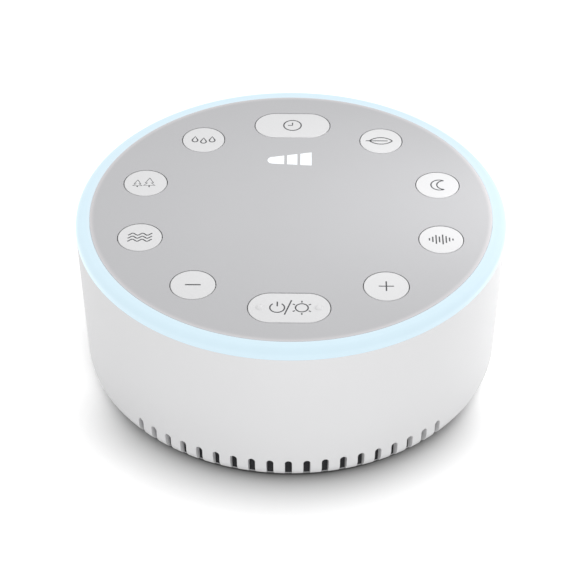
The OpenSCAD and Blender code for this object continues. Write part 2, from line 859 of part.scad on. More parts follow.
// Corrugated disc that centres the coil
module speaker_spider() {
    wave_h = 0.5;
    wave_count = 6;
    inner = cone_neck_r;
    wave_w = (spider_ledge_r - spider_glue_w - inner - bite) / wave_count;
    color([0.72, 0.58, 0.30]) rotate_extrude() polygon(concat(
        [[inner, spider_z], for (i = [1 : wave_count])
            [inner + i * wave_w, spider_z - (i % 2) * wave_h], [spider_ledge_r, spider_z]],
        [[spider_ledge_r, spider_z + spider_t], for (i = [wave_count : -1 : 1])
            [inner + i * wave_w, spider_z + spider_t - (i % 2) * wave_h],
            [inner, spider_z + spider_t]]));
}

// Paper tube with the copper winding at its upper end
module voice_coil() {
    winding_h = 2.2;
    winding_z = basket_top_z - 0.2;
    former_z = cone_neck_z - 0.6;
    color([0.72, 0.42, 0.20]) {
        tube(coil_r - former_t, coil_r, former_z, winding_z + winding_h);
        tube(coil_r - former_t, coil_r + coil_wire, winding_z, winding_z + winding_h);
    }
}

module speaker_cone() {
    flat_w = 1.2;
    color(part_black) rotate_extrude() polygon([
        [cone_edge_r, cone_edge_z], [cone_edge_r - flat_w, cone_edge_z],
        [cone_mid_r, cone_mid_z], [cone_neck_r, cone_neck_z - cone_t],
        [cone_neck_r, cone_neck_z + cone_t], [cone_mid_r, cone_mid_z + cone_t],
        [cone_edge_r - flat_w, cone_edge_z + cone_t], [cone_edge_r, cone_edge_z + cone_t]]);
}

// Domed cap over the middle of the cone, bulging out of it
module dust_cap() {
    cap_r = coil_r + 1.6;
    cap_t = 0.5;
    ball_r = 10;
    rise = ball_r - sqrt(ball_r ^ 2 - cap_r ^ 2);
    seat_gap = 0.05;
    color(part_black) translate([0, 0, cone_face_z(cap_r) - seat_gap]) difference() {
        intersection() {
            translate([0, 0, ball_r - rise]) sphere(r = ball_r);
            translate([0, 0, -rise - over]) cylinder(r = cap_r, h = rise + over);
        }
        translate([0, 0, ball_r - rise]) sphere(r = ball_r - cap_t);
    }
}

// Rubber half roll between the cone and the rim
module cone_surround() {
    lip = 1.4;
    color([0.16, 0.16, 0.17]) rotate_extrude() {
        difference() {
            translate([roll_place, rim_z]) circle(r = roll_r);
            translate([roll_place, rim_z]) circle(r = roll_r - roll_t);
            translate([0, rim_z]) square([speaker_r, roll_r + over]);
        }
        translate([roll_place + roll_r - roll_t, rim_z - roll_t]) square([lip, roll_t]);
        translate([cone_edge_r - lip, rim_z - roll_t]) square([lip + roll_t, roll_t]);
    }
}

// Fibre strip with two solder tags, on the rim at the back
module speaker_terminals() {
    color([0.55, 0.40, 0.20]) {
        translate([-terminal_strip[0] / 2, terminal_y, terminal_z]) cube(terminal_strip);
        for (s = [-1, 1]) translate([(s * wire_pitch - tag[0]) / 2, tag_y - bite, tag_z])
            cube([tag[0], tag[1] + bite, tag[2]]);
    }
}

// ---- power inlet and leads ----

// Metal shell, open to the back, with the contact tongue in it
module inlet_socket() {
    back_t = 1.6;
    tongue = [6.7, 5, 0.7];
    tongue_y = back_t - 0.6;
    span = inlet_w - inlet_h;
    color(bright_metal) translate([0, inlet_back_y, inlet_z]) {
        rotate([-90, 0, 0]) linear_extrude(inlet_len) difference() {
            obround(span, inlet_h / 2);
            obround(span, inlet_h / 2 - inlet_shell_t);
        }
        rotate([-90, 0, 0]) linear_extrude(back_t) obround(span, (inlet_h - inlet_shell_t) / 2);
        translate([-tongue[0] / 2, tongue_y, -tongue[2] / 2]) cube(tongue);
    }
}

module inlet_board() {
    s = inlet_board_size;
    color(board_green) difference() {
        translate([-s[0] / 2, inlet_board_y - s[1] / 2, inlet_board_z]) cube(s);
        for (x = [-1, 1])
            translate([x * inlet_screw_at[0], inlet_screw_at[1], inlet_board_z - over])
                cylinder(r = small_shank_r + pass_gap, h = s[2] + 2 * over);
    }
}

// A lead that runs up at y, bends to the front and ends in a header's back face
module lead(x, y, z0, z_end, y_end) {
    translate([x, 0, 0]) {
        translate([0, y, z0]) cylinder(r = wire_r, h = z_end - wire_bend - z0);
        translate([0, y - wire_bend, z_end - wire_bend]) rotate([90, 0, 90])
            rotate_extrude(angle = 90) translate([wire_bend, 0]) circle(r = wire_r);
        translate([0, y_end, z_end]) rotate([-90, 0, 0])
            cylinder(r = wire_r, h = y - wire_bend - y_end);
    }
}

module power_leads() {
    color([0.75, 0.12, 0.10]) for (s = [-1, 1])
        lead(s * wire_pitch / 2, power_lead_y, inlet_board_top, lead_end_z,
            power_header_y + header_size[1] / 2 - lead_in_header);
}

// The same kind of lead, which starts with a bend from a solder tag
module speaker_leads() {
    start_y = tag_y + tag[1];
    start_z = tag_z + tag[2] / 2;
    color([0.15, 0.15, 0.16]) for (s = [-1, 1]) {
        x = s * wire_pitch / 2;
        translate([x, start_y, start_z]) rotate([-90, 0, 0])
            cylinder(r = wire_r, h = speaker_lead_y - wire_bend - start_y);
        translate([x, speaker_lead_y - wire_bend, start_z + wire_bend]) rotate([90, 0, 90])
            rotate_extrude(start = -90, angle = 90) translate([wire_bend, 0]) circle(r = wire_r);
        lead(x, speaker_lead_y, start_z + wire_bend, lead_end_z,
            speaker_header_y + header_size[1] / 2 - lead_in_header);
    }
}

// ---- screws ----

module base_screws() {
    z = base_z + head_recess;
    len = baffle_top + base_screw_in - z;
    color(bright_metal) for (a = column_turn) on_circle(column_place, a)
        screw(z, len, long_shank_r, long_head_r, long_head_h, 1);
}

module deck_screws() {
    len = deck_top - deck_seat_z + small_screw_in;
    color(bright_metal) for (a = column_turn) on_circle(column_place, a)
        screw(deck_top, len, small_shank_r, small_head_r, small_head_h, 0);
}

module board_screws() {
    color(bright_metal) for (a = post_turn) on_circle(post_place, a)
        screw(board_z, board_t + board_screw_in, small_shank_r, small_head_r, small_head_h, 1);
}

module speaker_screws() {
    end_gap = 0.5;
    len = small_screw_in - end_gap + gasket_t + rim_t;
    color(bright_metal) for (a = ear_turn) on_circle(ear_place, a + ear_swing)
        screw(rim_z + rim_t, len, small_shank_r, small_head_r, small_head_h, 0);
}

module inlet_screws() {
    len = inlet_board_size[2] + inlet_boss_h + inlet_screw_in;
    color(bright_metal) for (s = [-1, 1]) translate([s * inlet_screw_at[0], inlet_screw_at[1], 0])
        screw(inlet_board_top, len, small_shank_r, small_head_r, small_head_h, 0);
}

housing();
base_plate();
foot_ring();
vent_cloth();
light_ring();
face_plate();
volume_window();
key_deck();
timer_key();
power_light_key();
rain_key();
forest_key();
ocean_key();
relax_key();
calm_key();
white_noise_key();
volume_down_key();
volume_up_key();
timer_plunger();
power_light_plunger();
rain_plunger();
forest_plunger();
ocean_plunger();
relax_plunger();
calm_plunger();
white_noise_plunger();
volume_down_plunger();
volume_up_plunger();
switch_bodies();
main_board();
ring_lamps();
volume_lamps();
control_chips();
capacitors();
power_header();
speaker_header();
speaker_baffle();
speaker_gasket();
speaker_frame();
speaker_top_plate();
speaker_magnet();
speaker_yoke();
speaker_spider();
voice_coil();
speaker_cone();
dust_cap();
cone_surround();
speaker_terminals();
inlet_socket();
inlet_board();
power_leads();
speaker_leads();
base_screws();
deck_screws();
board_screws();
speaker_screws();
inlet_screws();
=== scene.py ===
from math import asin, atan2, cos, pi, radians, sin, sqrt

import bmesh
import bpy
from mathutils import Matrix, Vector


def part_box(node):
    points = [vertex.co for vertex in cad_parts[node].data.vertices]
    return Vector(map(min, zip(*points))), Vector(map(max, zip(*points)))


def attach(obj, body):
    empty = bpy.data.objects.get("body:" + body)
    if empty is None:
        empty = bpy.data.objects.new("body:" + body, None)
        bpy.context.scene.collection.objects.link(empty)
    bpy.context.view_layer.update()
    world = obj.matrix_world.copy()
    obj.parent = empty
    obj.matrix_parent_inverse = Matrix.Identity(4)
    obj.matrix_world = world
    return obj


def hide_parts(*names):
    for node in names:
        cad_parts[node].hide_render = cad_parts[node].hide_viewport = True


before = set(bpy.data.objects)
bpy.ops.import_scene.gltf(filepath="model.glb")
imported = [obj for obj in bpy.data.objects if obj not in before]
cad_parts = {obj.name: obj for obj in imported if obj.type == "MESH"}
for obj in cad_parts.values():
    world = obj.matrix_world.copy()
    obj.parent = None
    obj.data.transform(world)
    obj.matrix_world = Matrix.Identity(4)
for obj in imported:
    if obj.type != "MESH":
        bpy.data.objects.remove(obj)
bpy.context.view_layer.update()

# ---- camera ----
# A long lens in front of the machine and well above it. Its axis passes below the middle of
# the face plate, so the drum stands a little above the middle of the picture.
mm = 0.001
camera_height = radians(37.08)
camera_turn = radians(0.6)
camera_distance = 558.8 * mm
camera_lens = 135.375
axis_below_plate = radians(2.044)
axis_left_of_plate = radians(0.097)
plate_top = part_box("face_plate")[1].z

bpy.ops.object.select_all(action="DESELECT")
bpy.ops.object.camera_add(
    location=(
        camera_distance * sin(camera_turn) * cos(camera_height),
        -camera_distance * cos(camera_turn) * cos(camera_height),
        plate_top + camera_distance * sin(camera_height),
    ),
    rotation=(pi / 2 - camera_height - axis_below_plate, 0, camera_turn + axis_left_of_plate),
)
camera = bpy.context.object
camera.data.lens = camera_lens
bpy.context.scene.camera = camera
bpy.context.scene.view_settings.view_transform = "Standard"


# ---- studio ----
# A white sweep under even white light, with a long soft light over the right side and a weak
# one in front, which no surface mirrors. A shadow is painted into the paper before the foot,
# deepest at the front, where the real shadow is deeper than this light casts.
sky_light = 1.0
sweep_w = 6000 * mm
floor_seen = 1.2
floor_lit = 0.8
# Painted shadow before the foot: its darkest tone, its reach, its fade and its spread to the
# front.
foot_shade = 0.1 * floor_seen
foot_shade_reach = (51 * mm, 75 * mm)
foot_shade_fade = 0.42
foot_shade_front = (0.22, 0.7)
side_light_size = (40 * mm, 240 * mm)
side_light_place = (16 * mm, 5 * mm, 121 * mm)
side_light_aim = (-20 * mm, 5 * mm, 74 * mm)
side_light_watts = 0.06
front_light_size = (120 * mm, 120 * mm)
front_light_place = (50 * mm, -280 * mm, 150 * mm)
front_light_aim = (0, 0, 25 * mm)
front_light_watts = 0.138


def add(tree, kind, inputs=None, **settings):
    """Adds a shader node. Each input is given a value or another node's output."""
    made = tree.nodes.new("ShaderNode" + kind)
    for name, value in settings.items():
        setattr(made, name, value)
    for name, value in (inputs or {}).items():
        if isinstance(value, bpy.types.NodeSocket):
            tree.links.new(value, made.inputs[name])
        else:
            made.inputs[name].default_value = value
    return made


def blank_material(name):
    """A new material and its node tree, with nothing in it yet."""
    made = bpy.data.materials.new(name)
    made.use_nodes = True
    made.node_tree.nodes.clear()
    return made, made.node_tree


def seen(tree):
    """1 for rays that come straight from the camera, a reflection or a clear piece."""
    path = add(tree, "LightPath").outputs
    shiny = add(tree, "Math", {0: path["Is Glossy Ray"], 1: path["Is Transmission Ray"]})
    total = add(tree, "Math", {0: path["Is Camera Ray"], 1: shiny.outputs[0]}, use_clamp=True)
    return total.outputs[0]


world = bpy.data.worlds.new("white studio")
bpy.context.scene.world = world
world.use_nodes = True
sky = world.node_tree
sky.nodes.clear()
backdrop = add(sky, "Background", {"Color": (1, 1, 1, 1), "Strength": sky_light})
add(sky, "OutputWorld", {"Surface": backdrop.outputs[0]})

for size, place, aim, watts in (
    (side_light_size, side_light_place, side_light_aim, side_light_watts),
    (front_light_size, front_light_place, front_light_aim, front_light_watts),
):
    bpy.ops.object.light_add(type="AREA", location=place)
    panel = bpy.context.object
    panel.data.shape = "RECTANGLE"
    panel.data.size, panel.data.size_y = size
    panel.data.energy = watts
    panel.rotation_euler = (Vector(aim) - panel.location).to_track_quat("-Z", "Y").to_euler()
    panel.visible_camera = False
    panel.visible_glossy = False

bpy.ops.mesh.primitive_plane_add(size=sweep_w)
floor = bpy.context.object
floor.name = "floor"
paper, sheet = blank_material("white paper sweep")
paper_flat = add(
    sheet,
    "VectorMath",
    {0: add(sheet, "TexCoord").outputs["Object"], 1: (1, 1, 0)},
    operation="MULTIPLY",
)
paper_reach = add(sheet, "VectorMath", {0: paper_flat.outputs[0]}, operation="LENGTH")
paper_way = add(sheet, "VectorMath", {0: paper_flat.outputs[0]}, operation="NORMALIZE")
# Painted shadow: the paper's colour darkens near the foot, most of all at the front.
painted_shadow_front = add(
    sheet,
    "MapRange",
    {
        "Value": add(
            sheet,
            "VectorMath",
            {0: paper_way.outputs[0], 1: (0, -1, 0)},
            operation="DOT_PRODUCT",
        ).outputs["Value"],
        "From Min": foot_shade_front[0],
        "From Max": foot_shade_front[1],
        "To Min": floor_seen,
        "To Max": foot_shade,
    },
    interpolation_type="SMOOTHSTEP",
)
painted_shadow_gap = add(
    sheet,
    "MapRange",
    {
        "Value": paper_reach.outputs["Value"],
        "From Min": foot_shade_reach[0],
        "From Max": foot_shade_reach[1],
    },
)
painted_shadow_fade = add(
    sheet, "Math", {0: painted_shadow_gap.outputs[0], 1: foot_shade_fade}, operation="POWER"
)
painted_shadow_tone = add(
    sheet,
    "MapRange",
    {"Value": painted_shadow_fade.outputs[0], "To Min": painted_shadow_front.outputs[0], "To Max": floor_seen},
)
paper_level = add(
    sheet,
    "MapRange",
    {"Value": seen(sheet), "To Min": floor_lit, "To Max": painted_shadow_tone.outputs[0]},
)
paper_tone = add(
    sheet, "CombineXYZ", {axis: paper_level.outputs[0] for axis in ("X", "Y", "Z")}
)
paper_face = add(sheet, "BsdfDiffuse", {"Color": paper_tone.outputs[0]})
add(sheet, "OutputMaterial", {"Surface": paper_face.outputs[0]})
floor.data.materials.append(paper)


# ---- housing ----
# White ABS, moulded in one piece: a wall that widens a little upwards, a rounded foot and a
# row of vent slots cut through the rounding at the front. Four columns inside take screws.
drum_low, drum_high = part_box("housing")
base_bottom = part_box("base_plate")[0].z
drum_top_r = drum_high.x
drum_taper = 1.2 * mm
taper_above_slots = 0.1 * drum_taper
drum_wall = 2 * mm
foot_round = 4 * mm
seam_edge = 0.12 * mm
lower_r = drum_top_r - drum_taper
inner_low_r = lower_r - drum_wall
inner_top_r = drum_top_r - drum_wall
round_z = base_bottom + foot_round
round_r = lower_r - foot_round
round_steps = 12
slot_count = 19
slot_pitch = radians(4.9)
slot_r = 0.875 * mm
slot_top = 7.8 * mm
slot_edge = 0.12 * mm
row_above_slots = 9 * mm
column_r = 3.2 * mm
column_gap = 0.4 * mm
column_place = inner_low_r - column_r - column_gap
column_turns = [radians(a) for a in (35, 145, 215, 325)]
column_low = 12 * mm
column_high = 38.6 * mm
column_middle = (column_high + column_low) / 2
column_bore_r = 1.3 * mm
bore_tool_len = 8 * mm
bore_middles = (column_low + 3.9 * mm, column_high - 1.9 * mm)
inlet_low, inlet_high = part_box("inlet_socket")
inlet_gap = 0.3 * mm
joined_by = 0.3 * mm
body_steps = 442
corner_steps = 5
plastic_flow = 28 * mm
tone_spread = 0.025
satin_spread = 0.05

# Corners closer than same_place are one, and a hair is the play in picking them by a level.
same_place = 0.001 * mm
hair = 0.01 * mm


def linear(colour):
    """An sRGB colour such as f2f2f0 as the linear values that a shader takes."""
    parts = [int(colour[i : i + 2], 16) / 255 for i in (0, 2, 4)]
    return [p / 12.92 if p <= 0.04045 else ((p + 0.055) / 1.055) ** 2.4 for p in parts] + [1]


def moulded_plastic(name, colour, roughness, grain, depth):
    """Opaque plastic from an etched mould, whose texture has that spacing and depth."""
    made, tree = blank_material(name)
    place = add(tree, "TexCoord").outputs["Object"]
    etched = add(tree, "TexNoise", {"Vector": place, "Scale": 1 / grain, "Detail": 2.0})
    relief = add(tree, "Bump", {"Height": etched.outputs[0], "Distance": depth})
    flow = add(tree, "TexNoise", {"Vector": place, "Scale": 1 / plastic_flow, "Detail": 3.0})
    tone = add(
        tree,
        "Mix",
        {
            0: flow.outputs[0],
            6: [(1 - tone_spread) * c for c in linear(colour)[:3]] + [1],
            7: [min((1 + tone_spread) * c, 1) for c in linear(colour)[:3]] + [1],
        },
        data_type="RGBA",
    )
    satin = add(
        tree,
        "MapRange",
        {
            "Value": flow.outputs[0],
            "To Min": roughness - satin_spread,
            "To Max": roughness + satin_spread,
        },
    )
    face = add(
        tree,
        "BsdfPrincipled",
        {
            "Base Color": tone.outputs[2],
            "Roughness": satin.outputs[0],
            "IOR": 1.53,
            "Normal": relief.outputs[0],
        },
    )
    add(tree, "OutputMaterial", {"Surface": face.outputs[0]})
    return made


def select(kind, passes):
    """In edit mode, selects only the verts, edges or faces that pass the test."""
    bpy.ops.mesh.select_mode(type={"verts": "VERT", "edges": "EDGE", "faces": "FACE"}[kind])
    bpy.ops.mesh.select_all(action="DESELECT")
    mesh = bpy.context.object.data
    edited = bmesh.from_edit_mesh(mesh)
    for part in getattr(edited, kind):
        part.select_set(passes(part))
    edited.select_flush_mode()
    bmesh.update_edit_mesh(mesh)


def turned(corners, steps, rounded=(), angle=2 * pi):
    """Spins a closed outline of (radius, height) corners into a solid round the Z axis.

    rounded holds (corner number, rounding) for the corners that aren't sharp."""
    bpy.ops.object.select_all(action="DESELECT")
    bpy.ops.mesh.primitive_circle_add(vertices=len(corners))
    outline = bpy.context.object
    for vertex, (radius, height) in zip(outline.data.vertices, corners):
        vertex.co = (radius, 0, height)
    bpy.ops.object.mode_set(mode="EDIT")
    for corner, size in rounded:
        at = (corners[corner][0], 0, corners[corner][1])
        select("verts", lambda v: sum(abs(a - b) for a, b in zip(v.co, at)) < same_place)
        bpy.ops.mesh.bevel(offset=size, segments=corner_steps, affect="VERTICES")
    bpy.ops.mesh.select_all(action="SELECT")
    bpy.ops.mesh.spin(steps=steps, angle=angle, center=(0, 0, 0), axis=(0, 0, 1))
    bpy.ops.mesh.select_all(action="SELECT")
    bpy.ops.mesh.remove_doubles(threshold=same_place)
    bpy.ops.mesh.delete_loose(use_verts=True, use_edges=True, use_faces=False)
    if angle < 2 * pi:
        bpy.ops.mesh.select_all(action="SELECT")
        bpy.ops.mesh.fill_holes(sides=0)
    bpy.ops.mesh.select_all(action="SELECT")
    bpy.ops.mesh.normals_make_consistent(inside=False)
    bpy.ops.object.mode_set(mode="OBJECT")
    return outline


def copies(piece, places):
    """One copy of a piece for each (place, turn), joined into one object."""
    made = []
    for place, turn in places:
        copy = piece.copy()
        copy.data = piece.data.copy()
        bpy.context.collection.objects.link(copy)
        copy.location = place
        copy.rotation_euler = (0, 0, turn)
        made.append(copy)
    bpy.data.objects.remove(piece)
    bpy.ops.object.select_all(action="DESELECT")
    for copy in made:
        copy.select_set(True)
    bpy.context.view_layer.objects.active = made[0]
    bpy.ops.object.join()
    bpy.ops.object.transform_apply()
    return bpy.context.object


def carve(piece, tool, operation="DIFFERENCE"):
    """Cuts a piece with a tool, or joins the tool to it, and takes the tool away."""
    bpy.context.view_layer.objects.active = piece
    cut = piece.modifiers.new("cut", "BOOLEAN")
    cut.operation = operation
    cut.object = tool
    cut.solver = "EXACT"
    bpy.ops.object.modifier_apply(modifier=cut.name)
    bpy.data.objects.remove(tool)


def soften(piece, width, sharper_than=50):
    """Rounds every edge of a piece that is sharper than that angle, in degrees."""
    bpy.context.view_layer.objects.active = piece
    edge = piece.modifiers.new("edge", "BEVEL")
    edge.width = width
    edge.segments = 2
    edge.limit_method = "ANGLE"
    edge.angle_limit = radians(sharper_than)
    edge.use_clamp_overlap = False
    bpy.ops.object.modifier_apply(modifier=edge.name)


def finish(piece, name, surface, body, finish_slot, *nodes):
    """Names a piece, sets its place into its mesh and hands it to the body it rides on."""
    bpy.ops.object.select_all(action="DESELECT")
    piece.select_set(True)
    bpy.context.view_layer.objects.active = piece
    bpy.ops.object.transform_apply()
    bpy.ops.object.shade_smooth_by_angle(angle=radians(30))
    flats = piece.modifiers.new("flats", "WEIGHTED_NORMAL")
    flats.keep_sharp = True
    bpy.ops.object.modifier_apply(modifier=flats.name)
    piece.name = name
    piece.data.name = name
    piece.data.materials.clear()
    piece.data.materials.append(surface)
    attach(piece, body)
    if nodes:
        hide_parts(*nodes)


def block(size, place=(0, 0, 0)):
    """A box of that width, depth and height about a place, to cut with or build on."""
    bpy.ops.mesh.primitive_cube_add(size=1)
    made = bpy.context.object
    made.scale = size
    made.location = place
    bpy.ops.object.transform_apply()
    return made


def round_about(radius, turns, height=0):
    """(place, turn) for each copy of a piece on a circle round the Z axis."""
    return [((radius * cos(a), radius * sin(a), height), a) for a in turns]


# Etched white ABS: soft light, no clear reflections, a fine even grain. The real grain is
# about 0.1 mm and is drawn three times as coarse, so that it shows.
white_abs = moulded_plastic("etched white ABS", "d4d4d5", 0.42, 0.3 * mm, 0.006 * mm)

seam_angle = atan2(round_z - drum_low.z, sqrt(foot_round**2 - (round_z - drum_low.z) ** 2))
outer_line = [
    (
        round_r + foot_round * cos(seam_angle * i / round_steps),
        round_z - foot_round * sin(seam_angle * i / round_steps),
    )
    for i in range(round_steps, -1, -1)
]
outer_line.append((lower_r + taper_above_slots, row_above_slots))
drum_line = outer_line + [
    (drum_top_r, drum_high.z),
    (inner_top_r, drum_high.z),
    (inner_low_r + taper_above_slots, row_above_slots),
    (inner_low_r, drum_low.z),
]
drum = turned(drum_line, body_steps, [(0, seam_edge), (len(outer_line), seam_edge)])

bpy.ops.mesh.primitive_cylinder_add(
    vertices=48, radius=column_r, depth=column_high - column_low
)
columns = copies(bpy.context.object, round_about(column_place, column_turns, column_middle))
web = block((inner_top_r - column_place + joined_by, drum_wall, column_high - column_low))
web_place = (inner_top_r + joined_by + column_place) / 2
carve(columns, copies(web, round_about(web_place, column_turns, column_middle)), "UNION")
carve(drum, columns, "UNION")

bpy.ops.mesh.primitive_cylinder_add(
    vertices=24, radius=slot_r, depth=3 * drum_wall, rotation=(pi / 2, 0, 0)
)
slot_tool = bpy.context.object
bpy.ops.object.transform_apply()
bpy.ops.object.mode_set(mode="EDIT")
select("verts", lambda v: v.co.z < -hair)
bpy.ops.transform.resize(value=(1, 1, 0), center_override=(0, 0, -slot_top))
bpy.ops.object.mode_set(mode="OBJECT")
slot_middle = (slot_count - 1) / 2
slot_turns = [(i - slot_middle) * slot_pitch for i in range(slot_count)]
slot_place = lower_r - drum_wall / 2
slots = copies(
    slot_tool,
    [((slot_place * sin(a), -slot_place * cos(a), slot_top - slot_r), a) for a in slot_turns],
)
carve(drum, slots)

inlet_half_h = (inlet_high.z - inlet_low.z) / 2
inlet_middle = (inlet_high + inlet_low) / 2


def obround_bar(half_width, half_height, depth, vertices=48):
    """A bar along Y whose section has round ends, centred on the origin."""
    bpy.ops.object.select_all(action="DESELECT")
    bpy.ops.mesh.primitive_cylinder_add(
        vertices=vertices, radius=half_height, depth=depth, rotation=(pi / 2, pi / vertices, 0)
    )
    bar = bpy.context.object
    bpy.ops.object.transform_apply()
    bpy.ops.object.mode_set(mode="EDIT")
    for side in (-1, 1):
        select("verts", lambda v: v.co.x * side > 0)
        bpy.ops.transform.translate(value=(side * (half_width - half_height), 0, 0))
    bpy.ops.object.mode_set(mode="OBJECT")
    return bar


inlet_tool = obround_bar(inlet_high.x + inlet_gap, inlet_half_h + inlet_gap, 4 * drum_wall)
inlet_tool.location = (0, lower_r - drum_wall / 2, inlet_middle.z)
carve(drum, inlet_tool)

bpy.ops.mesh.primitive_cylinder_add(vertices=24, radius=column_bore_r, depth=bore_tool_len)
bores = copies(
    bpy.context.object,
    [
        ((column_place * cos(a), column_place * sin(a), z), a)
        for a in column_turns
        for z in bore_middles
    ],
)
carve(drum, bores)
soften(drum, slot_edge)
finish(drum, "housing_moulding", white_abs, "body", "white_plastic", "housing")


# ---- base plate ----
# White ABS disc that closes the housing from below. Its edge carries the drum's rounding on
# under the seam. Ribs and screw bosses stand on it, and a rebate at the front takes the cloth.
base_low, base_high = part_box("base_plate")
base_t = 1.5 * mm
seam_gap = 0.1 * mm
base_lip_z = drum_low.z - seam_gap
base_top = base_low.z + base_t
base_fit = 0.15 * mm
base_insert_r = inner_low_r - base_fit
foot_low, foot_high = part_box("foot_ring")
foot_in_r = 38.5 * mm
foot_out_r = foot_high.x
rib_t = 1.2 * mm
rib_h = 1.5 * mm
rib_top = base_top + rib_h
rib_inset = 2 * mm
rib_in_r = 12 * mm
rib_out_r = foot_in_r - rib_inset
spoke_count = 8
boss_low = base_low.z + 1 * mm
boss_clearance_r = 1.45 * mm
head_pocket_r = 2.8 * mm
head_pocket_h = 2 * mm
lip_steps = 4
lip_edge = 0.1 * mm
insert_edge = 0.2 * mm
base_edge = 0.08 * mm
base_steps = 360
cloth_r = -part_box("vent_cloth")[0].y
cloth_overlap = radians(1)
cloth_half_turn = slot_count * slot_pitch / 2 + cloth_overlap
rebate_end = radians(0.5)
rebate_depth = 0.55 * mm
rebate_r = cloth_r - rebate_depth
rebate_steps = 90


def round_at(height):
    """Radius of the drum's bottom rounding at a height."""
    return round_r + sqrt(foot_round**2 - (round_z - height) ** 2)


def standing(radius, low, high, vertices=48):
    """An upright cylinder on the origin between two heights."""
    bpy.ops.object.select_all(action="DESELECT")
    bpy.ops.mesh.primitive_cylinder_add(
        vertices=vertices, radius=radius, depth=high - low, location=(0, 0, (low + high) / 2)
    )
    bpy.ops.object.transform_apply()
    return bpy.context.object


lip_line = [
    (round_at(z), z)
    for z in (
        base_low.z + (base_lip_z - base_low.z) * i / lip_steps for i in range(lip_steps + 1)
    )
]
groove_line = [
    (0, base_low.z),
    (foot_in_r - base_fit, base_low.z),
    (foot_in_r - base_fit, foot_high.z),
    (foot_out_r + base_fit, foot_high.z),
    (foot_out_r + base_fit, base_low.z),
]
base_line = (
    groove_line
    + lip_line
    + [(base_insert_r, base_lip_z), (base_insert_r, base_top)]
    + [
        point
        for r in (rib_out_r, rib_in_r)
        for point in ((r, base_top), (r, rib_top), (r - rib_t, rib_top), (r - rib_t, base_top))
    ]
    + [(0, base_top)]
)
lip_corner = len(groove_line) + lip_steps
base = turned(base_line, base_steps, [(lip_corner, lip_edge), (lip_corner + 2, insert_edge)])
spoke = block(
    (rib_out_r - rib_in_r, rib_t, rib_top - base_top + joined_by),
    ((rib_out_r + rib_in_r - rib_t) / 2, 0, (rib_top + base_top - joined_by) / 2),
)
spoke_turns = [2 * pi * i / spoke_count for i in range(spoke_count)]
carve(base, copies(spoke, round_about(0, spoke_turns)), "UNION")
boss = standing(column_r, boss_low, base_high.z)
carve(base, copies(boss, round_about(column_place, column_turns)), "UNION")
pocket = standing(head_pocket_r, base_low.z - mm, base_low.z + head_pocket_h)
carve(base, copies(pocket, round_about(column_place, column_turns)))
passage = standing(boss_clearance_r, base_low.z, base_high.z + mm, vertices=24)
carve(base, copies(passage, round_about(column_place, column_turns)))
rebate_turn = 2 * (cloth_half_turn + rebate_end)
rebate = turned(
    [
        (rebate_r, base_lip_z),
        (inner_low_r + mm, base_lip_z),
        (inner_low_r + mm, base_top + mm),
        (rebate_r, base_top + mm),
    ],
    rebate_steps,
    angle=rebate_turn,
)
rebate.rotation_euler = (0, 0, -pi / 2 - rebate_turn / 2)
carve(base, rebate)
soften(base, base_edge, sharper_than=60)
finish(base, "base_moulding", white_abs, "body", "white_plastic", "base_plate")


# ---- foot ring ----
# Black rubber ring, moulded and pressed into the groove of the base. It stands proud of the
# base, so that the machine doesn't slide or pass its sound into the table.
foot_edge = 0.4 * mm
foot_steps = 240

# Rubber: dull and nearly black, with a coarse grain that breaks up every highlight.
foot_rubber = moulded_plastic("moulded black rubber", "2a2a2c", 0.75, 0.5 * mm, 0.02 * mm)

foot = turned(
    [
        (foot_in_r, foot_high.z),
        (foot_out_r, foot_high.z),
        (foot_out_r, foot_low.z),
        (foot_in_r, foot_low.z),
    ],
    foot_steps,
    [(2, foot_edge), (3, foot_edge)],
)
finish(foot, "rubber_foot_ring", foot_rubber, "body", "foot_rubber", "foot_ring")


# ---- base screws ----
# Four zinc-plated tapping screws, sunk in the base's pockets. They pass through the bosses
# and hold the base and the loudspeaker's baffle to the housing's columns.
screw_low, screw_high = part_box("base_screws")
screw_head_r = 2.6 * mm
screw_head_h = 1.7 * mm
screw_head_round = 0.6 * mm
screw_shank_r = 1.25 * mm
screw_thread = 0.22 * mm
thread_pitch = 1.1 * mm
thread_shape = ((0, 0.5), (-screw_thread, 0.15), (0, 0.2), (screw_thread, 0.15))
cross_size = (1.2 * screw_head_r, 0.6 * mm, 1.6 * mm)
cross_z = screw_low.z + 0.2 * mm
metal_spread = 0.08


def drawn_metal(name, colour, roughness, streak, depth):
    """Plated or bare metal with fine marks of that spacing from rolling or drawing."""
    made, tree = blank_material(name)
    place = add(tree, "TexCoord").outputs["Object"]
    marks = add(tree, "TexNoise", {"Vector": place, "Scale": 1 / streak, "Detail": 4.0})
    relief = add(tree, "Bump", {"Height": marks.outputs[0], "Distance": depth})
    dull = add(
        tree,
        "MapRange",
        {
            "Value": marks.outputs[0],
            "To Min": roughness - metal_spread,
            "To Max": roughness + metal_spread,
        },
    )
    face = add(
        tree,
        "BsdfPrincipled",
        {
            "Base Color": linear(colour),
            "Metallic": 1.0,
            "Roughness": dull.outputs[0],
            "Normal": relief.outputs[0],
        },
    )
    add(tree, "OutputMaterial", {"Surface": face.outputs[0]})
    return made


# Zinc plate: a light blue-grey metal, even and half dull.
zinc_plate = drawn_metal("zinc-plated steel", "b9bcc2", 0.35, 0.4 * mm, 0.004 * mm)

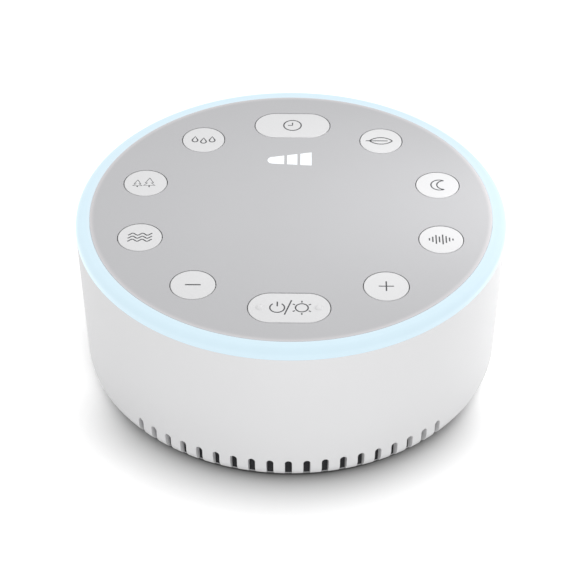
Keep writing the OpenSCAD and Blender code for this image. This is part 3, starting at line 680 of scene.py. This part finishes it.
screw = standing(screw_head_r, screw_low.z, screw_low.z + screw_head_h)
bpy.ops.object.mode_set(mode="EDIT")
select("edges", lambda e: all(v.co.z < screw_low.z + hair for v in e.verts))
bpy.ops.mesh.bevel(offset=screw_head_round, segments=4)
select("faces", lambda f: f.normal.z > 0.9)
bpy.ops.mesh.inset(thickness=screw_head_r - screw_shank_r)
threads = int((screw_high.z - screw_low.z - screw_head_h) / thread_pitch)
for turn in range(threads):
    for out, rise in thread_shape:
        bpy.ops.mesh.extrude_region_move(
            TRANSFORM_OT_translate={"value": (0, 0, rise * thread_pitch)}
        )
        size = 1 + out / (screw_shank_r if out < 0 else screw_shank_r - screw_thread)
        bpy.ops.transform.resize(value=(size, size, 1))
screw_tip_h = screw_high.z - screw_low.z - screw_head_h - threads * thread_pitch
bpy.ops.mesh.extrude_region_move(TRANSFORM_OT_translate={"value": (0, 0, screw_tip_h)})
bpy.ops.object.mode_set(mode="OBJECT")
for turn in (0, pi / 2):
    blade = block(cross_size, (0, 0, cross_z))
    blade.rotation_euler = (0, 0, turn)
    carve(screw, blade)
screws = copies(screw, round_about(column_place, column_turns))
finish(screws, "base_screw_set", zinc_plate, "body", "screw_steel", "base_screws")


# ---- light ring ----
# Milky polycarbonate ring that caps the wall. A tongue reaches down inside the wall to take
# in the lamps' light, so that the whole ring glows evenly.
ring_low, ring_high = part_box("light_ring")
ring_w = 3.6 * mm
ring_round = 1.8 * mm
ring_edge = 0.15 * mm
ring_in_r = ring_high.x - ring_w
plate_t = 1.6 * mm
plate_low_z = plate_top - plate_t
tongue_fit = 0.15 * mm
tongue_t = 0.95 * mm
tongue_out_r = inner_top_r - tongue_fit
ring_glow = 0.76
haze_size = 4 * mm
haze_spread = 0.02
whiter_w = 0.3 * ring_w


def glow_by_radius(tree, place, inner_r, outer_r, inner, outer):
    """A value that runs from inner to outer with the distance from the Z axis."""
    flat = add(tree, "VectorMath", {0: place, 1: (1, 1, 0)}, operation="MULTIPLY")
    reach = add(tree, "VectorMath", {0: flat.outputs[0]}, operation="LENGTH")
    return add(
        tree,
        "MapRange",
        {
            "Value": reach.outputs["Value"],
            "From Min": inner_r,
            "From Max": outer_r,
            "To Min": inner,
            "To Max": outer,
        },
        interpolation_type="SMOOTHSTEP",
    ).outputs[0]


# Milky polycarbonate with lamps behind it: light spreads in it, so it shows hardly any shade,
# only a pale blue that is a touch whiter along the inner edge, where the light comes up.
milky, milk = blank_material("lit milky polycarbonate")
milk_place = add(milk, "TexCoord").outputs["Object"]
milk_haze = add(milk, "TexNoise", {"Vector": milk_place, "Scale": 1 / haze_size, "Detail": 2.0})
milk_level = add(
    milk,
    "MapRange",
    {
        "Value": milk_haze.outputs[0],
        "To Min": (1 - haze_spread) * ring_glow,
        "To Max": (1 + haze_spread) * ring_glow,
    },
)
milk_tone = add(
    milk,
    "Mix",
    {
        0: glow_by_radius(milk, milk_place, ring_in_r, ring_in_r + whiter_w, 0.0, 1.0),
        6: linear("d9edf7"),
        7: linear("d3ebf7"),
    },
    data_type="RGBA",
)
milk_face = add(
    milk,
    "BsdfPrincipled",
    {
        "Base Color": linear("666f73"),
        "Roughness": 0.35,
        "IOR": 1.58,
        "Emission Color": milk_tone.outputs[2],
        "Emission Strength": milk_level.outputs[0],
    },
)
add(milk, "OutputMaterial", {"Surface": milk_face.outputs[0]})

ring = turned(
    [
        (ring_high.x, drum_high.z),
        (ring_high.x, ring_high.z),
        (ring_in_r, ring_high.z),
        (ring_in_r, plate_low_z),
        (tongue_out_r - tongue_t, plate_low_z),
        (tongue_out_r - tongue_t, ring_low.z),
        (tongue_out_r, ring_low.z),
        (tongue_out_r, plate_low_z),
        (inner_top_r, plate_low_z),
        (inner_top_r, drum_high.z),
    ],
    body_steps,
    [(0, ring_edge), (1, ring_round), (2, ring_edge)],
)
finish(ring, "light_diffuser_ring", milky, "body", "ring_diffuser", "light_ring")


# ---- face plate ----
# Flush grey plate, moulded in ABS with a fine satin face. The ten keys and the three bars
# come up through it, and six pegs under it press into the key deck.
plate_fit = 0.1 * mm
plate_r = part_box("face_plate")[1].x + plate_fit
plate_bevel = 0.08 * mm
plate_steps = 360
painted_rim_light_w = 1.4 * mm
opening_edge = 0.1 * mm
key_gap = 0.19 * mm
key_lip = 0.9 * mm
peg_r = 1.2 * mm
peg_place = 30 * mm
peg_turns = [radians(a) for a in (0, 35, 145, 180, 215, 325)]
peg_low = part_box("face_plate")[0].z
bars_low, bars_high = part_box("volume_window")
bars_middle = (bars_low + bars_high) / 2
bar_lens = (4.4 * mm, 2.7 * mm, 3 * mm)
bars_round_w = 3 * mm
bars_tall_w = 5.9 * mm
bars_rise = 0.7 * mm
bars_gap = 0.8 * mm
bars_fit = 0.02 * mm
bars_len = sum(bar_lens) + 2 * bars_gap
sound_keys = ["rain", "forest", "ocean", "relax", "calm", "white_noise"]
key_names = sound_keys + ["volume_down", "volume_up", "timer", "power_light"]
key_nodes = [name + "_key" for name in key_names]

# Satin ABS: an even mid grey with a broad soft shine. Its last stretch before the lit ring is
# painted paler, as a painted glow of the ring's light falling on it.
satin_grey = moulded_plastic("satin grey ABS", "a8a8aa", 0.38, 0.3 * mm, 0.004 * mm)
grey = satin_grey.node_tree
grey_face = next(n for n in grey.nodes if n.type == "BSDF_PRINCIPLED")
grey_place = next(n for n in grey.nodes if n.type == "TEX_COORD").outputs["Object"]
# Painted light: the base colour turns paler towards the plate's edge, as the ring's glow on it.
grey_painted_rim_glow = add(
    grey,
    "Mix",
    {
        0: glow_by_radius(grey, grey_place, plate_r - painted_rim_light_w, plate_r, 0.0, 1.0),
        6: grey_face.inputs["Base Color"].links[0].from_socket,
        7: linear("bbb9bb"),
    },
    data_type="RGBA",
)
grey.links.new(grey_painted_rim_glow.outputs[2], grey_face.inputs["Base Color"])


def upright_bar(middle, half_w, radius, low, high, vertices=96):
    """An upright bar, round or with round ends along X, about a place."""
    bar = standing(radius, low, high, vertices)
    bpy.ops.object.mode_set(mode="EDIT")
    bpy.ops.mesh.select_all(action="SELECT")
    bpy.ops.transform.rotate(value=pi / vertices, orient_axis="Z", center_override=(0, 0, 0))
    for side in (-1, 1):
        select("verts", lambda v: v.co.x * side > 0)
        bpy.ops.transform.translate(value=(side * (half_w - radius), 0, 0))
    bpy.ops.object.mode_set(mode="OBJECT")
    bar.location = (middle.x, middle.y, 0)
    bpy.ops.object.transform_apply()
    return bar


def key_place(node):
    """Middle of a key, half its length and its end radius, without its flange."""
    low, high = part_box(node)
    return (low + high) / 2, (high.x - low.x) / 2 - key_lip, (high.y - low.y) / 2 - key_lip


plate = standing(plate_r, plate_low_z, plate_top, vertices=plate_steps)
bpy.ops.object.mode_set(mode="EDIT")
select("edges", lambda e: all(v.co.z > plate_top - hair for v in e.verts))
bpy.ops.mesh.bevel(offset=plate_bevel, segments=4)
bpy.ops.object.mode_set(mode="OBJECT")
for node in key_nodes:
    middle, half_w, radius = key_place(node)
    opening = upright_bar(
        middle, half_w + key_gap, radius + key_gap, plate_low_z - mm, plate_top + mm
    )
    carve(plate, opening)
soften(plate, opening_edge)

wedge = standing(bars_round_w / 2 + bars_fit, plate_low_z - mm, plate_top + mm, vertices=64)
wedge_start = bars_middle.x - bars_len / 2
wedge_spread = (bars_tall_w + 2 * bars_fit) / (bars_round_w + 2 * bars_fit)
for vertex in wedge.data.vertices:
    if vertex.co.x > hair:
        vertex.co.x = wedge_start + bars_len + bars_fit
        vertex.co.y = bars_middle.y + vertex.co.y * wedge_spread
    else:
        vertex.co.x += wedge_start + bars_round_w / 2
        vertex.co.y += bars_middle.y - bars_rise
for number in (1, 2):
    bridge_x = wedge_start + sum(bar_lens[:number]) + (number - 0.5) * bars_gap
    bridge = block(
        (bars_gap - 2 * bars_fit, 2 * bars_tall_w, 4 * plate_t),
        (bridge_x, bars_middle.y, plate_top),
    )
    carve(wedge, bridge)
carve(plate, wedge)
peg = standing(peg_r, peg_low, plate_low_z + joined_by)
carve(plate, copies(peg, round_about(peg_place, peg_turns)), "UNION")
finish(plate, "face_panel", satin_grey, "body", "plate_plastic", "face_plate")


# ---- volume bars ----
# Clear light guide behind the plate, with three bars that stand flush in its face. Lamps on
# the board light them from below, so they show as plain white light.
bars_glow = (0.72, 0.8)
bars_spot = 2 * mm

# Lit light guide: white and nearly even, with no shade on it.
bars_light, guide = blank_material("lit clear light guide")
guide_place = add(guide, "TexCoord").outputs["Object"]
guide_spots = add(guide, "TexNoise", {"Vector": guide_place, "Scale": 1 / bars_spot})
guide_level = add(
    guide,
    "MapRange",
    {"Value": guide_spots.outputs[0], "To Min": bars_glow[0], "To Max": bars_glow[1]},
)
guide_face = add(
    guide,
    "BsdfPrincipled",
    {
        "Base Color": linear("8a8f92"),
        "Roughness": 0.25,
        "IOR": 1.58,
        "Emission Color": linear("fafdff"),
        "Emission Strength": guide_level.outputs[0],
    },
)
add(guide, "OutputMaterial", {"Surface": guide_face.outputs[0]})


def coat(material, *nodes):
    """Gives CAD nodes whose own shape stays a finish."""
    for node in nodes:
        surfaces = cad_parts[node].data.materials
        surfaces.clear()
        surfaces.append(material)


coat(bars_light, "volume_window")


# ---- keys ----
# Ten white ABS caps, smoother and lighter than the plate. Each is hollow, with a flange that
# catches under the plate and a stem that stands on its switch. The power key has two bumps.
flange_t = 0.9 * mm
flange_gap = 0.05 * mm
key_edge = 0.2 * mm
key_wall = 1 * mm
key_top_t = 1.2 * mm
key_stem_r = 1.6 * mm
bump_place = 7.25 * mm
bump_r = 1 * mm
bump_h = 0.45 * mm
bump_steps = 8

# Smooth ABS: cleaner and whiter than the plate, with a slightly sharper shine.
smooth_white = moulded_plastic("smooth white ABS", "c7c7c8", 0.32, 0.4 * mm, 0.002 * mm)

for node in key_nodes:
    middle, half_w, radius = key_place(node)
    stem_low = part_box(node)[0].z
    flange_high = plate_low_z - flange_gap
    flange_low = flange_high - flange_t
    cap = upright_bar(middle, half_w + key_lip, radius + key_lip, flange_low, flange_high)
    bpy.ops.object.mode_set(mode="EDIT")
    select("faces", lambda f: f.normal.z > 0.9)
    bpy.ops.mesh.inset(thickness=key_lip)
    bpy.ops.mesh.extrude_region_move(
        TRANSFORM_OT_translate={"value": (0, 0, plate_top - flange_high)}
    )
    select("edges", lambda e: all(v.co.z > plate_top - hair for v in e.verts))
    bpy.ops.mesh.bevel(offset=key_edge, segments=4)
    select("faces", lambda f: f.normal.z < -0.9 and f.calc_center_median().z < flange_high)
    bpy.ops.mesh.inset(thickness=key_lip + key_wall)
    bpy.ops.mesh.extrude_region_move(
        TRANSFORM_OT_translate={"value": (0, 0, plate_top - key_top_t - flange_low)}
    )
    bpy.ops.object.mode_set(mode="OBJECT")
    stem = standing(key_stem_r, stem_low, plate_top - key_top_t / 2, vertices=32)
    stem.location = (middle.x, middle.y, 0)
    carve(cap, stem, "UNION")
    if node == "power_light_key":
        ball_r = (bump_r**2 + bump_h**2) / (2 * bump_h)
        spread = asin(bump_r / ball_r)
        dome_line = [
            (
                ball_r * sin(spread * i / bump_steps),
                plate_top + bump_h - ball_r * (1 - cos(spread * i / bump_steps)),
            )
            for i in range(bump_steps + 1)
        ]
        for side in (-1, 1):
            dome = turned(
                dome_line + [(bump_r, plate_top - bump_h), (0, plate_top - bump_h)], steps=48
            )
            dome.location = (middle.x + side * bump_place, middle.y, 0)
            carve(cap, dome, "UNION")
    finish(cap, node + "_cap", smooth_white, node, "key_plastic", node)


# ---- key symbols ----
# Grey marks printed on the keys by pad printing. The sound keys carry plain pictures: rain,
# trees, waves, a leaf, a moon and noise levels. Their points are in millimetres.
ink_line = 0.36 * mm
minus_line = 0.45 * mm
ink_h = 0.012 * mm
arc_step = radians(6)

# Printing ink: a thin flat film, dark grey and half matt, with clean edges.
pad_ink = moulded_plastic("grey pad-printing ink", "3a3b3e", 0.5, 0.2 * mm, 0.001 * mm)


def arc(x, y, radius, start, end):
    """Points of an arc between two angles in degrees."""
    count = max(2, int(abs(radians(end - start)) / arc_step) + 1)
    turns = [radians(start + (end - start) * i / count) for i in range(count + 1)]
    return [(x + radius * cos(t), y + radius * sin(t)) for t in turns]


def printed(node, lines, width=ink_line):
    """Prints lines of points, given from the key's middle, on a key's top."""
    middle = key_place(node)[0]
    drawn = bpy.data.curves.new(node, "CURVE")
    drawn.dimensions = "3D"
    drawn.bevel_depth = width / 2
    drawn.bevel_resolution = 3
    drawn.use_fill_caps = True
    for line in lines:
        stroke = drawn.splines.new("POLY")
        closed = len(line) > 2 and sum(abs(a - b) for a, b in zip(line[0], line[-1])) < same_place
        points = line[:-1] if closed else line
        stroke.points.add(len(points) - 1)
        stroke.use_cyclic_u = closed
        for point, (x, y) in zip(stroke.points, points):
            point.co = (x * mm, y * mm, 0, 1)
    ink = bpy.data.objects.new(node, drawn)
    bpy.context.collection.objects.link(ink)
    bpy.ops.object.select_all(action="DESELECT")
    ink.select_set(True)
    bpy.context.view_layer.objects.active = ink
    bpy.ops.object.convert(target="MESH")
    ink = bpy.context.object
    ink.scale = (1, 1, 2 * ink_h / width)
    ink.location = (middle.x, middle.y, plate_top)
    finish(ink, node.replace("_key", "_symbol"), pad_ink, node, "key_plastic")


def fir(x, foot, wide, tall):
    """Outline of a fir tree with two tiers and a trunk."""
    skirt, tier = foot + 0.18 * tall, foot + 0.45 * tall
    side = [(0.5 * wide, skirt), (0.16 * wide, tier), (0.36 * wide, tier)]
    left = [(x - out, y) for out, y in side]
    right = [(x + out, y) for out, y in reversed(side)]
    return [left + [(x, foot + tall)] + right + left[:1], [(x, foot), (x, skirt)]]


def drop(x, y, radius):
    """Outline of a rain drop: a round foot and two sides that meet in a point."""
    foot = arc(x, y, radius, 150, 390)
    return [foot + [(x, y + 2.3 * radius), foot[0]]]


printed("rain_key", drop(-2.3, -0.3, 0.75) + drop(0, -0.9, 0.75) + drop(2.3, -0.3, 0.75))
printed("forest_key", fir(-2.1, -1.8, 2.4, 3.1) + fir(1.0, -1.8, 3.0, 4.0))
wave_len = 2.5
wave_h = 0.42
wave_points = [x / 10 for x in range(-31, 32, 2)]
printed(
    "ocean_key",
    [
        [(x, y + wave_h * sin(2 * pi * x / wave_len)) for x in wave_points]
        for y in (-1.25, 0, 1.25)
    ],
)
leaf_side = arc(0, -2.4, 3.9, 38, 142)
printed("relax_key", [leaf_side + [(-x, -y) for x, y in leaf_side], [(-4.1, 0), (1.8, 0)]])
printed("calm_key", [arc(0.5, 0, 2.2, 58, 302) + arc(1.7, 0, 1.87, 270, 90)])
noise_levels = [0.5, 1.1, 1.8, 1.2, 2.0, 1.4, 0.8, 0.4]
noise_places = [0.85 * (i - 3.5) for i in range(len(noise_levels))]
printed("white_noise_key", [[(x, -h), (x, h)] for x, h in zip(noise_places, noise_levels)])
printed("volume_down_key", [[(-1.95, 0), (1.95, 0)]], minus_line)
printed("volume_up_key", [[(-1.9, 0), (1.9, 0)], [(0, -1.9), (0, 1.9)]])
printed("timer_key", [arc(0, 0, 2.36, 0, 360), [(-1.2, 0), (0, 0), (0, 1.25)]])
power_x = -2.92
sun_x = 3.1
sun_rays = [
    [(sun_x + r * cos(radians(a)), r * sin(radians(a))) for r in (2.0, 2.65)]
    for a in (90, 270, 33, 147, 213, 327)
]
printed(
    "power_light_key",
    [
        arc(power_x, 0, 1.8, 127, 413),
        [(power_x, 0.5), (power_x, 2.3)],
        [(0.57, 2.9), (-1.13, -2.68)],
        arc(sun_x, 0, 1.55, 0, 360),
    ]
    + sun_rays,
)


# ---- vent cloth ----
# Black polyester cloth, glued inside the wall behind the slots. It lets sound through, keeps
# dust out, and stands on the base's lip.
cloth_thread = 0.35 * mm
gap_tone = 0.4


def woven(name, colour, roughness, thread):
    """Plain weave round the Z axis: threads of that width pass over and under."""
    made, tree = blank_material(name)
    place = add(tree, "SeparateXYZ", {0: add(tree, "TexCoord").outputs["Object"]}).outputs
    turn = add(tree, "Math", {0: place["Y"], 1: place["X"]}, operation="ARCTAN2")
    flat = add(tree, "CombineXYZ", {"X": place["X"], "Y": place["Y"]})
    reach = add(tree, "VectorMath", {0: flat.outputs[0]}, operation="LENGTH")
    round_about_axis = add(
        tree, "Math", {0: turn.outputs[0], 1: reach.outputs["Value"]}, operation="MULTIPLY"
    )
    waves = []
    for along in (round_about_axis.outputs[0], place["Z"]):
        phase = add(tree, "Math", {0: along, 1: pi / thread}, operation="MULTIPLY")
        waves.append(add(tree, "Math", {0: phase.outputs[0]}, operation="SINE").outputs[0])
    weave = add(tree, "Math", {0: waves[0], 1: waves[1]}, operation="MULTIPLY")
    relief = add(tree, "Bump", {"Height": weave.outputs[0], "Distance": thread / 4})
    tone = add(
        tree,
        "Mix",
        {
            0: add(tree, "Math", {0: weave.outputs[0]}, operation="ABSOLUTE").outputs[0],
            6: [gap_tone * c for c in linear(colour)[:3]] + [1],
            7: linear(colour),
        },
        data_type="RGBA",
    )
    face = add(
        tree,
        "BsdfPrincipled",
        {
            "Base Color": tone.outputs[2],
            "Roughness": roughness,
            "IOR": 1.5,
            "Normal": relief.outputs[0],
        },
    )
    add(tree, "OutputMaterial", {"Surface": face.outputs[0]})
    return made


# Dull black threads with darker gaps between them. Their black also stands in for the shade
# deep inside the slots, as painted shade, so that the slots look deep.
black_cloth_slot_shade = woven("woven black polyester", "36363a", 0.85, cloth_thread)
coat(black_cloth_slot_shade, "vent_cloth")


# ---- power inlet ----
# Folded shell of bright stainless steel, open to the back, with a black contact tongue that
# carries gilt strips. It takes the plug of the power lead, which the photograph doesn't show.
shell_t = 0.35 * mm
shell_edge = 0.08 * mm
shell_back_t = 1.6 * mm
tongue_w = 6.7 * mm
tongue_t = 0.7 * mm
tongue_len = 5 * mm
tongue_from = 1 * mm
strip_count = 5
strip_w = 0.6 * mm
strip_step = 1.1 * mm
strip_t = 0.05 * mm
strip_len = 4 * mm

# Stainless steel: bright, with faint lines from rolling. Gilt strips are yellow and smoother.
# Nylon: near-black with a faint waxy shine.
stainless = drawn_metal("rolled stainless steel", "c9c9c6", 0.28, 0.3 * mm, 0.002 * mm)
gilt = drawn_metal("gilt contact strip", "e0b357", 0.2, 0.1 * mm, 0.001 * mm)
black_nylon = moulded_plastic("moulded black nylon", "1e1e20", 0.5, 0.15 * mm, 0.003 * mm)

shell = obround_bar(inlet_high.x, inlet_half_h, inlet_high.y - inlet_low.y)
shell.location = inlet_middle
bpy.ops.object.transform_apply()
hollow = obround_bar(inlet_high.x - shell_t, inlet_half_h - shell_t, inlet_high.y - inlet_low.y)
hollow.location = inlet_middle + Vector((0, shell_back_t, 0))
carve(shell, hollow)
soften(shell, shell_edge)
finish(shell, "inlet_shell", stainless, "body", "steel", "inlet_socket")

tongue = block(
    (tongue_w, tongue_len, tongue_t),
    (0, inlet_low.y + tongue_from + tongue_len / 2, inlet_middle.z),
)
soften(tongue, shell_edge)
finish(tongue, "inlet_tongue", black_nylon, "body", "black_plastic")

strip = block((strip_w, strip_len, strip_t))
strip_y = inlet_low.y + shell_back_t + strip_len / 2
strips = copies(
    strip,
    [
        (((i - (strip_count - 1) / 2) * strip_step, strip_y, inlet_middle.z + side), 0)
        for i in range(strip_count)
        for side in (-tongue_t / 2, tongue_t / 2)
    ],
)
finish(strips, "inlet_contacts", gilt, "body", "steel")


# ---- key deck ----
# White ABS deck under the face plate, in the same etched moulding as the housing. It guides
# the key stems, stops each press and hangs the main board from four posts.
coat(white_abs, "key_deck")


# ---- boards ----
# Main board and the small board of the power inlet: glass fibre with copper tracks under a
# green solder mask, cut by milling.
track_step = 1.27 * mm
mask_depth = 0.02 * mm

# Solder mask: a smooth, slightly glossy green that is lighter over the copper tracks.
solder_mask, mask = blank_material("green solder mask over copper")
mask_tracks = add(
    mask,
    "TexBrick",
    {
        "Vector": add(mask, "TexCoord").outputs["Object"],
        "Scale": 1 / track_step,
        "Brick Width": 5.0,
        "Row Height": 1.0,
        "Mortar Size": 0.12,
        "Mortar Smooth": 0.1,
    },
)
mask_tone = add(
    mask,
    "Mix",
    {0: mask_tracks.outputs["Fac"], 6: linear("1d6b3a"), 7: linear("0f4a27")},
    data_type="RGBA",
)
mask_relief = add(
    mask, "Bump", {"Height": mask_tracks.outputs["Fac"], "Distance": mask_depth}, invert=True
)
mask_face = add(
    mask,
    "BsdfPrincipled",
    {
        "Base Color": mask_tone.outputs[2],
        "Roughness": 0.3,
        "IOR": 1.55,
        "Normal": mask_relief.outputs[0],
    },
)
add(mask, "OutputMaterial", {"Surface": mask_face.outputs[0]})
coat(solder_mask, "main_board", "inlet_board")


# ---- switches ----
# Ten tact switches soldered to the board. Each has a pressed steel cover over its snap dome
# and a black nylon plunger, which the stem of its key pushes down.

# Pressed steel: a brighter grey than the zinc, smooth, with hardly a mark.
switch_steel = drawn_metal("pressed switch cover", "c4c5c8", 0.3, 0.25 * mm, 0.002 * mm)
coat(switch_steel, "switch_bodies")
coat(black_nylon, *[name + "_plunger" for name in key_names])


# ---- lamps ----
# Twenty lamps round the edge of the board light the ring, and three light the bars. Each is a
# white resin cup filled with silicone that holds yellow phosphor.
phosphor_grain = 0.08 * mm

# Phosphor: a matt pale yellow, speckled, in a white cup.
phosphor, glow = blank_material("phosphor in a white resin cup")
glow_grain = add(
    glow,
    "TexVoronoi",
    {"Vector": add(glow, "TexCoord").outputs["Object"], "Scale": 1 / phosphor_grain},
)
glow_tone = add(
    glow,
    "Mix",
    {0: glow_grain.outputs["Distance"], 6: linear("f3e9a6"), 7: linear("f1f0e6")},
    data_type="RGBA",
)
glow_face = add(
    glow, "BsdfPrincipled", {"Base Color": glow_tone.outputs[2], "Roughness": 0.45, "IOR": 1.41}
)
add(glow, "OutputMaterial", {"Surface": glow_face.outputs[0]})
coat(phosphor, "ring_lamps", "volume_lamps")


# ---- parts on the board ----
# Three chips in black epoxy, three aluminium capacitors, and two ivory nylon headers under
# the board that take the leads.

# Epoxy: matt black. Aluminium: bright and finely drawn. Ivory nylon: warm white, half dull.
epoxy = moulded_plastic("black moulding epoxy", "242427", 0.6, 0.1 * mm, 0.003 * mm)
can_aluminium = drawn_metal("drawn aluminium can", "cfd0d2", 0.25, 0.2 * mm, 0.001 * mm)
ivory_nylon = moulded_plastic("ivory nylon", "e4dfcd", 0.45, 0.2 * mm, 0.003 * mm)
coat(epoxy, "control_chips")
coat(can_aluminium, "capacitors")
coat(ivory_nylon, "power_header", "speaker_header")


# ---- baffle and gasket ----
# Black ABS baffle, moulded with the loudspeaker's screw bosses, and a ring of black closed-
# cell foam that seals the loudspeaker's rim to it.

# Etched ABS: black with a soft grey shine. Foam: black, quite matt and finely pitted.
baffle_abs = moulded_plastic("etched black ABS", "222225", 0.5, 0.3 * mm, 0.006 * mm)
gasket_foam = moulded_plastic("closed-cell black foam", "1c1c1d", 0.9, 0.25 * mm, 0.08 * mm)
coat(baffle_abs, "speaker_baffle")
coat(gasket_foam, "speaker_gasket")


# ---- loudspeaker frame and motor ----
# Pressed and zinc-plated steel frame with four ears and an open basket. The steel top plate
# and the yoke hold a ring of ferrite between them.

# Ferrite: a dark grey ceramic, dull from grinding.
ferrite = moulded_plastic("ground ferrite", "3a3a3c", 0.55, 0.3 * mm, 0.01 * mm)
coat(zinc_plate, "speaker_frame", "speaker_top_plate", "speaker_yoke")
coat(ferrite, "speaker_magnet")


# ---- cone and suspension ----
# Cone and dust cap of pressed black paper pulp, a rubber half roll round the cone, a yellow
# cotton spider dipped in resin, and the coil: copper wire on a brown paper tube.
fibre_len = 1.2 * mm
fibre_depth = 0.05 * mm
wire_step = 0.15 * mm
wave_node_unit = 20
spider_thread = 0.6 * mm

# Pulp: matt near-black with short pale fibres that lie every way.
paper_pulp, pulp = blank_material("pressed black paper pulp")
pulp_fibres = add(
    pulp,
    "TexNoise",
    {
        "Vector": add(pulp, "TexCoord").outputs["Object"],
        "Scale": 1 / fibre_len,
        "Detail": 6.0,
        "Distortion": 2.5,
    },
)
pulp_tone = add(
    pulp,
    "Mix",
    {0: pulp_fibres.outputs[0], 6: linear("161617"), 7: linear("3c3c3e")},
    data_type="RGBA",
)
pulp_relief = add(pulp, "Bump", {"Height": pulp_fibres.outputs[0], "Distance": fibre_depth})
pulp_face = add(
    pulp,
    "BsdfPrincipled",
    {
        "Base Color": pulp_tone.outputs[2],
        "Roughness": 0.9,
        "IOR": 1.5,
        "Normal": pulp_relief.outputs[0],
    },
)
add(pulp, "OutputMaterial", {"Surface": pulp_face.outputs[0]})

# Enamelled wire: copper bands one above the other, each a turn of the winding. The wave node
# makes one band in every 2 pi / 20 of its unit.
enamelled_wire, winding = blank_material("enamelled copper winding")
winding_turns = add(
    winding,
    "TexWave",
    {
        "Vector": add(winding, "TexCoord").outputs["Object"],
        "Scale": 2 * pi / wire_step / wave_node_unit,
    },
    wave_type="BANDS",
    bands_direction="Z",
)
winding_relief = add(
    winding, "Bump", {"Height": winding_turns.outputs[0], "Distance": wire_step / 3}
)
winding_face = add(
    winding,
    "BsdfPrincipled",
    {
        "Base Color": linear("c46a3a"),
        "Metallic": 1.0,
        "Roughness": 0.3,
        "Normal": winding_relief.outputs[0],
    },
)
add(winding, "OutputMaterial", {"Surface": winding_face.outputs[0]})

# Dipped cotton: a stiff amber weave whose threads the resin makes a little shiny.
dipped_cotton = woven("resin-dipped cotton", "b98a3a", 0.6, spider_thread)
coat(paper_pulp, "speaker_cone", "dust_cap")
coat(enamelled_wire, "voice_coil")
coat(foot_rubber, "cone_surround")
coat(dipped_cotton, "speaker_spider")


# ---- terminal strip ----
# Strip of brown phenolic paper on the loudspeaker's rim, with two tags for the leads. The
# paper's layers show as faint bands.
layer_reach = 2 * mm
layer_t = 0.2 * mm

# Phenolic paper: warm brown and half dull.
phenolic, layers = blank_material("brown phenolic paper")
layers_bands = add(
    layers,
    "TexNoise",
    {
        "Vector": add(
            layers,
            "Mapping",
            {
                "Vector": add(layers, "TexCoord").outputs["Object"],
                "Scale": (1 / layer_reach, 1 / layer_reach, 1 / layer_t),
            },
        ).outputs[0],
        "Scale": 1.0,
    },
)
layers_tone = add(
    layers,
    "Mix",
    {0: layers_bands.outputs[0], 6: linear("6b4a24"), 7: linear("93693a")},
    data_type="RGBA",
)
layers_face = add(
    layers,
    "BsdfPrincipled",
    {"Base Color": layers_tone.outputs[2], "Roughness": 0.5, "IOR": 1.6},
)
add(layers, "OutputMaterial", {"Surface": layers_face.outputs[0]})
coat(phenolic, "speaker_terminals")


# ---- leads ----
# Two red leads from the power inlet and two black ones from the loudspeaker, with soft vinyl
# sleeves that shine a little.
red_vinyl = moulded_plastic("red vinyl sleeve", "a8231d", 0.4, 0.5 * mm, 0.004 * mm)
black_vinyl = moulded_plastic("black vinyl sleeve", "29292b", 0.4, 0.5 * mm, 0.004 * mm)
coat(red_vinyl, "power_leads")
coat(black_vinyl, "speaker_leads")


# ---- inner screws ----
# Small zinc-plated tapping screws: four hold the key deck, four the main board, four the
# loudspeaker and two the board of the power inlet.
coat(zinc_plate, "deck_screws", "board_screws", "speaker_screws", "inlet_screws")
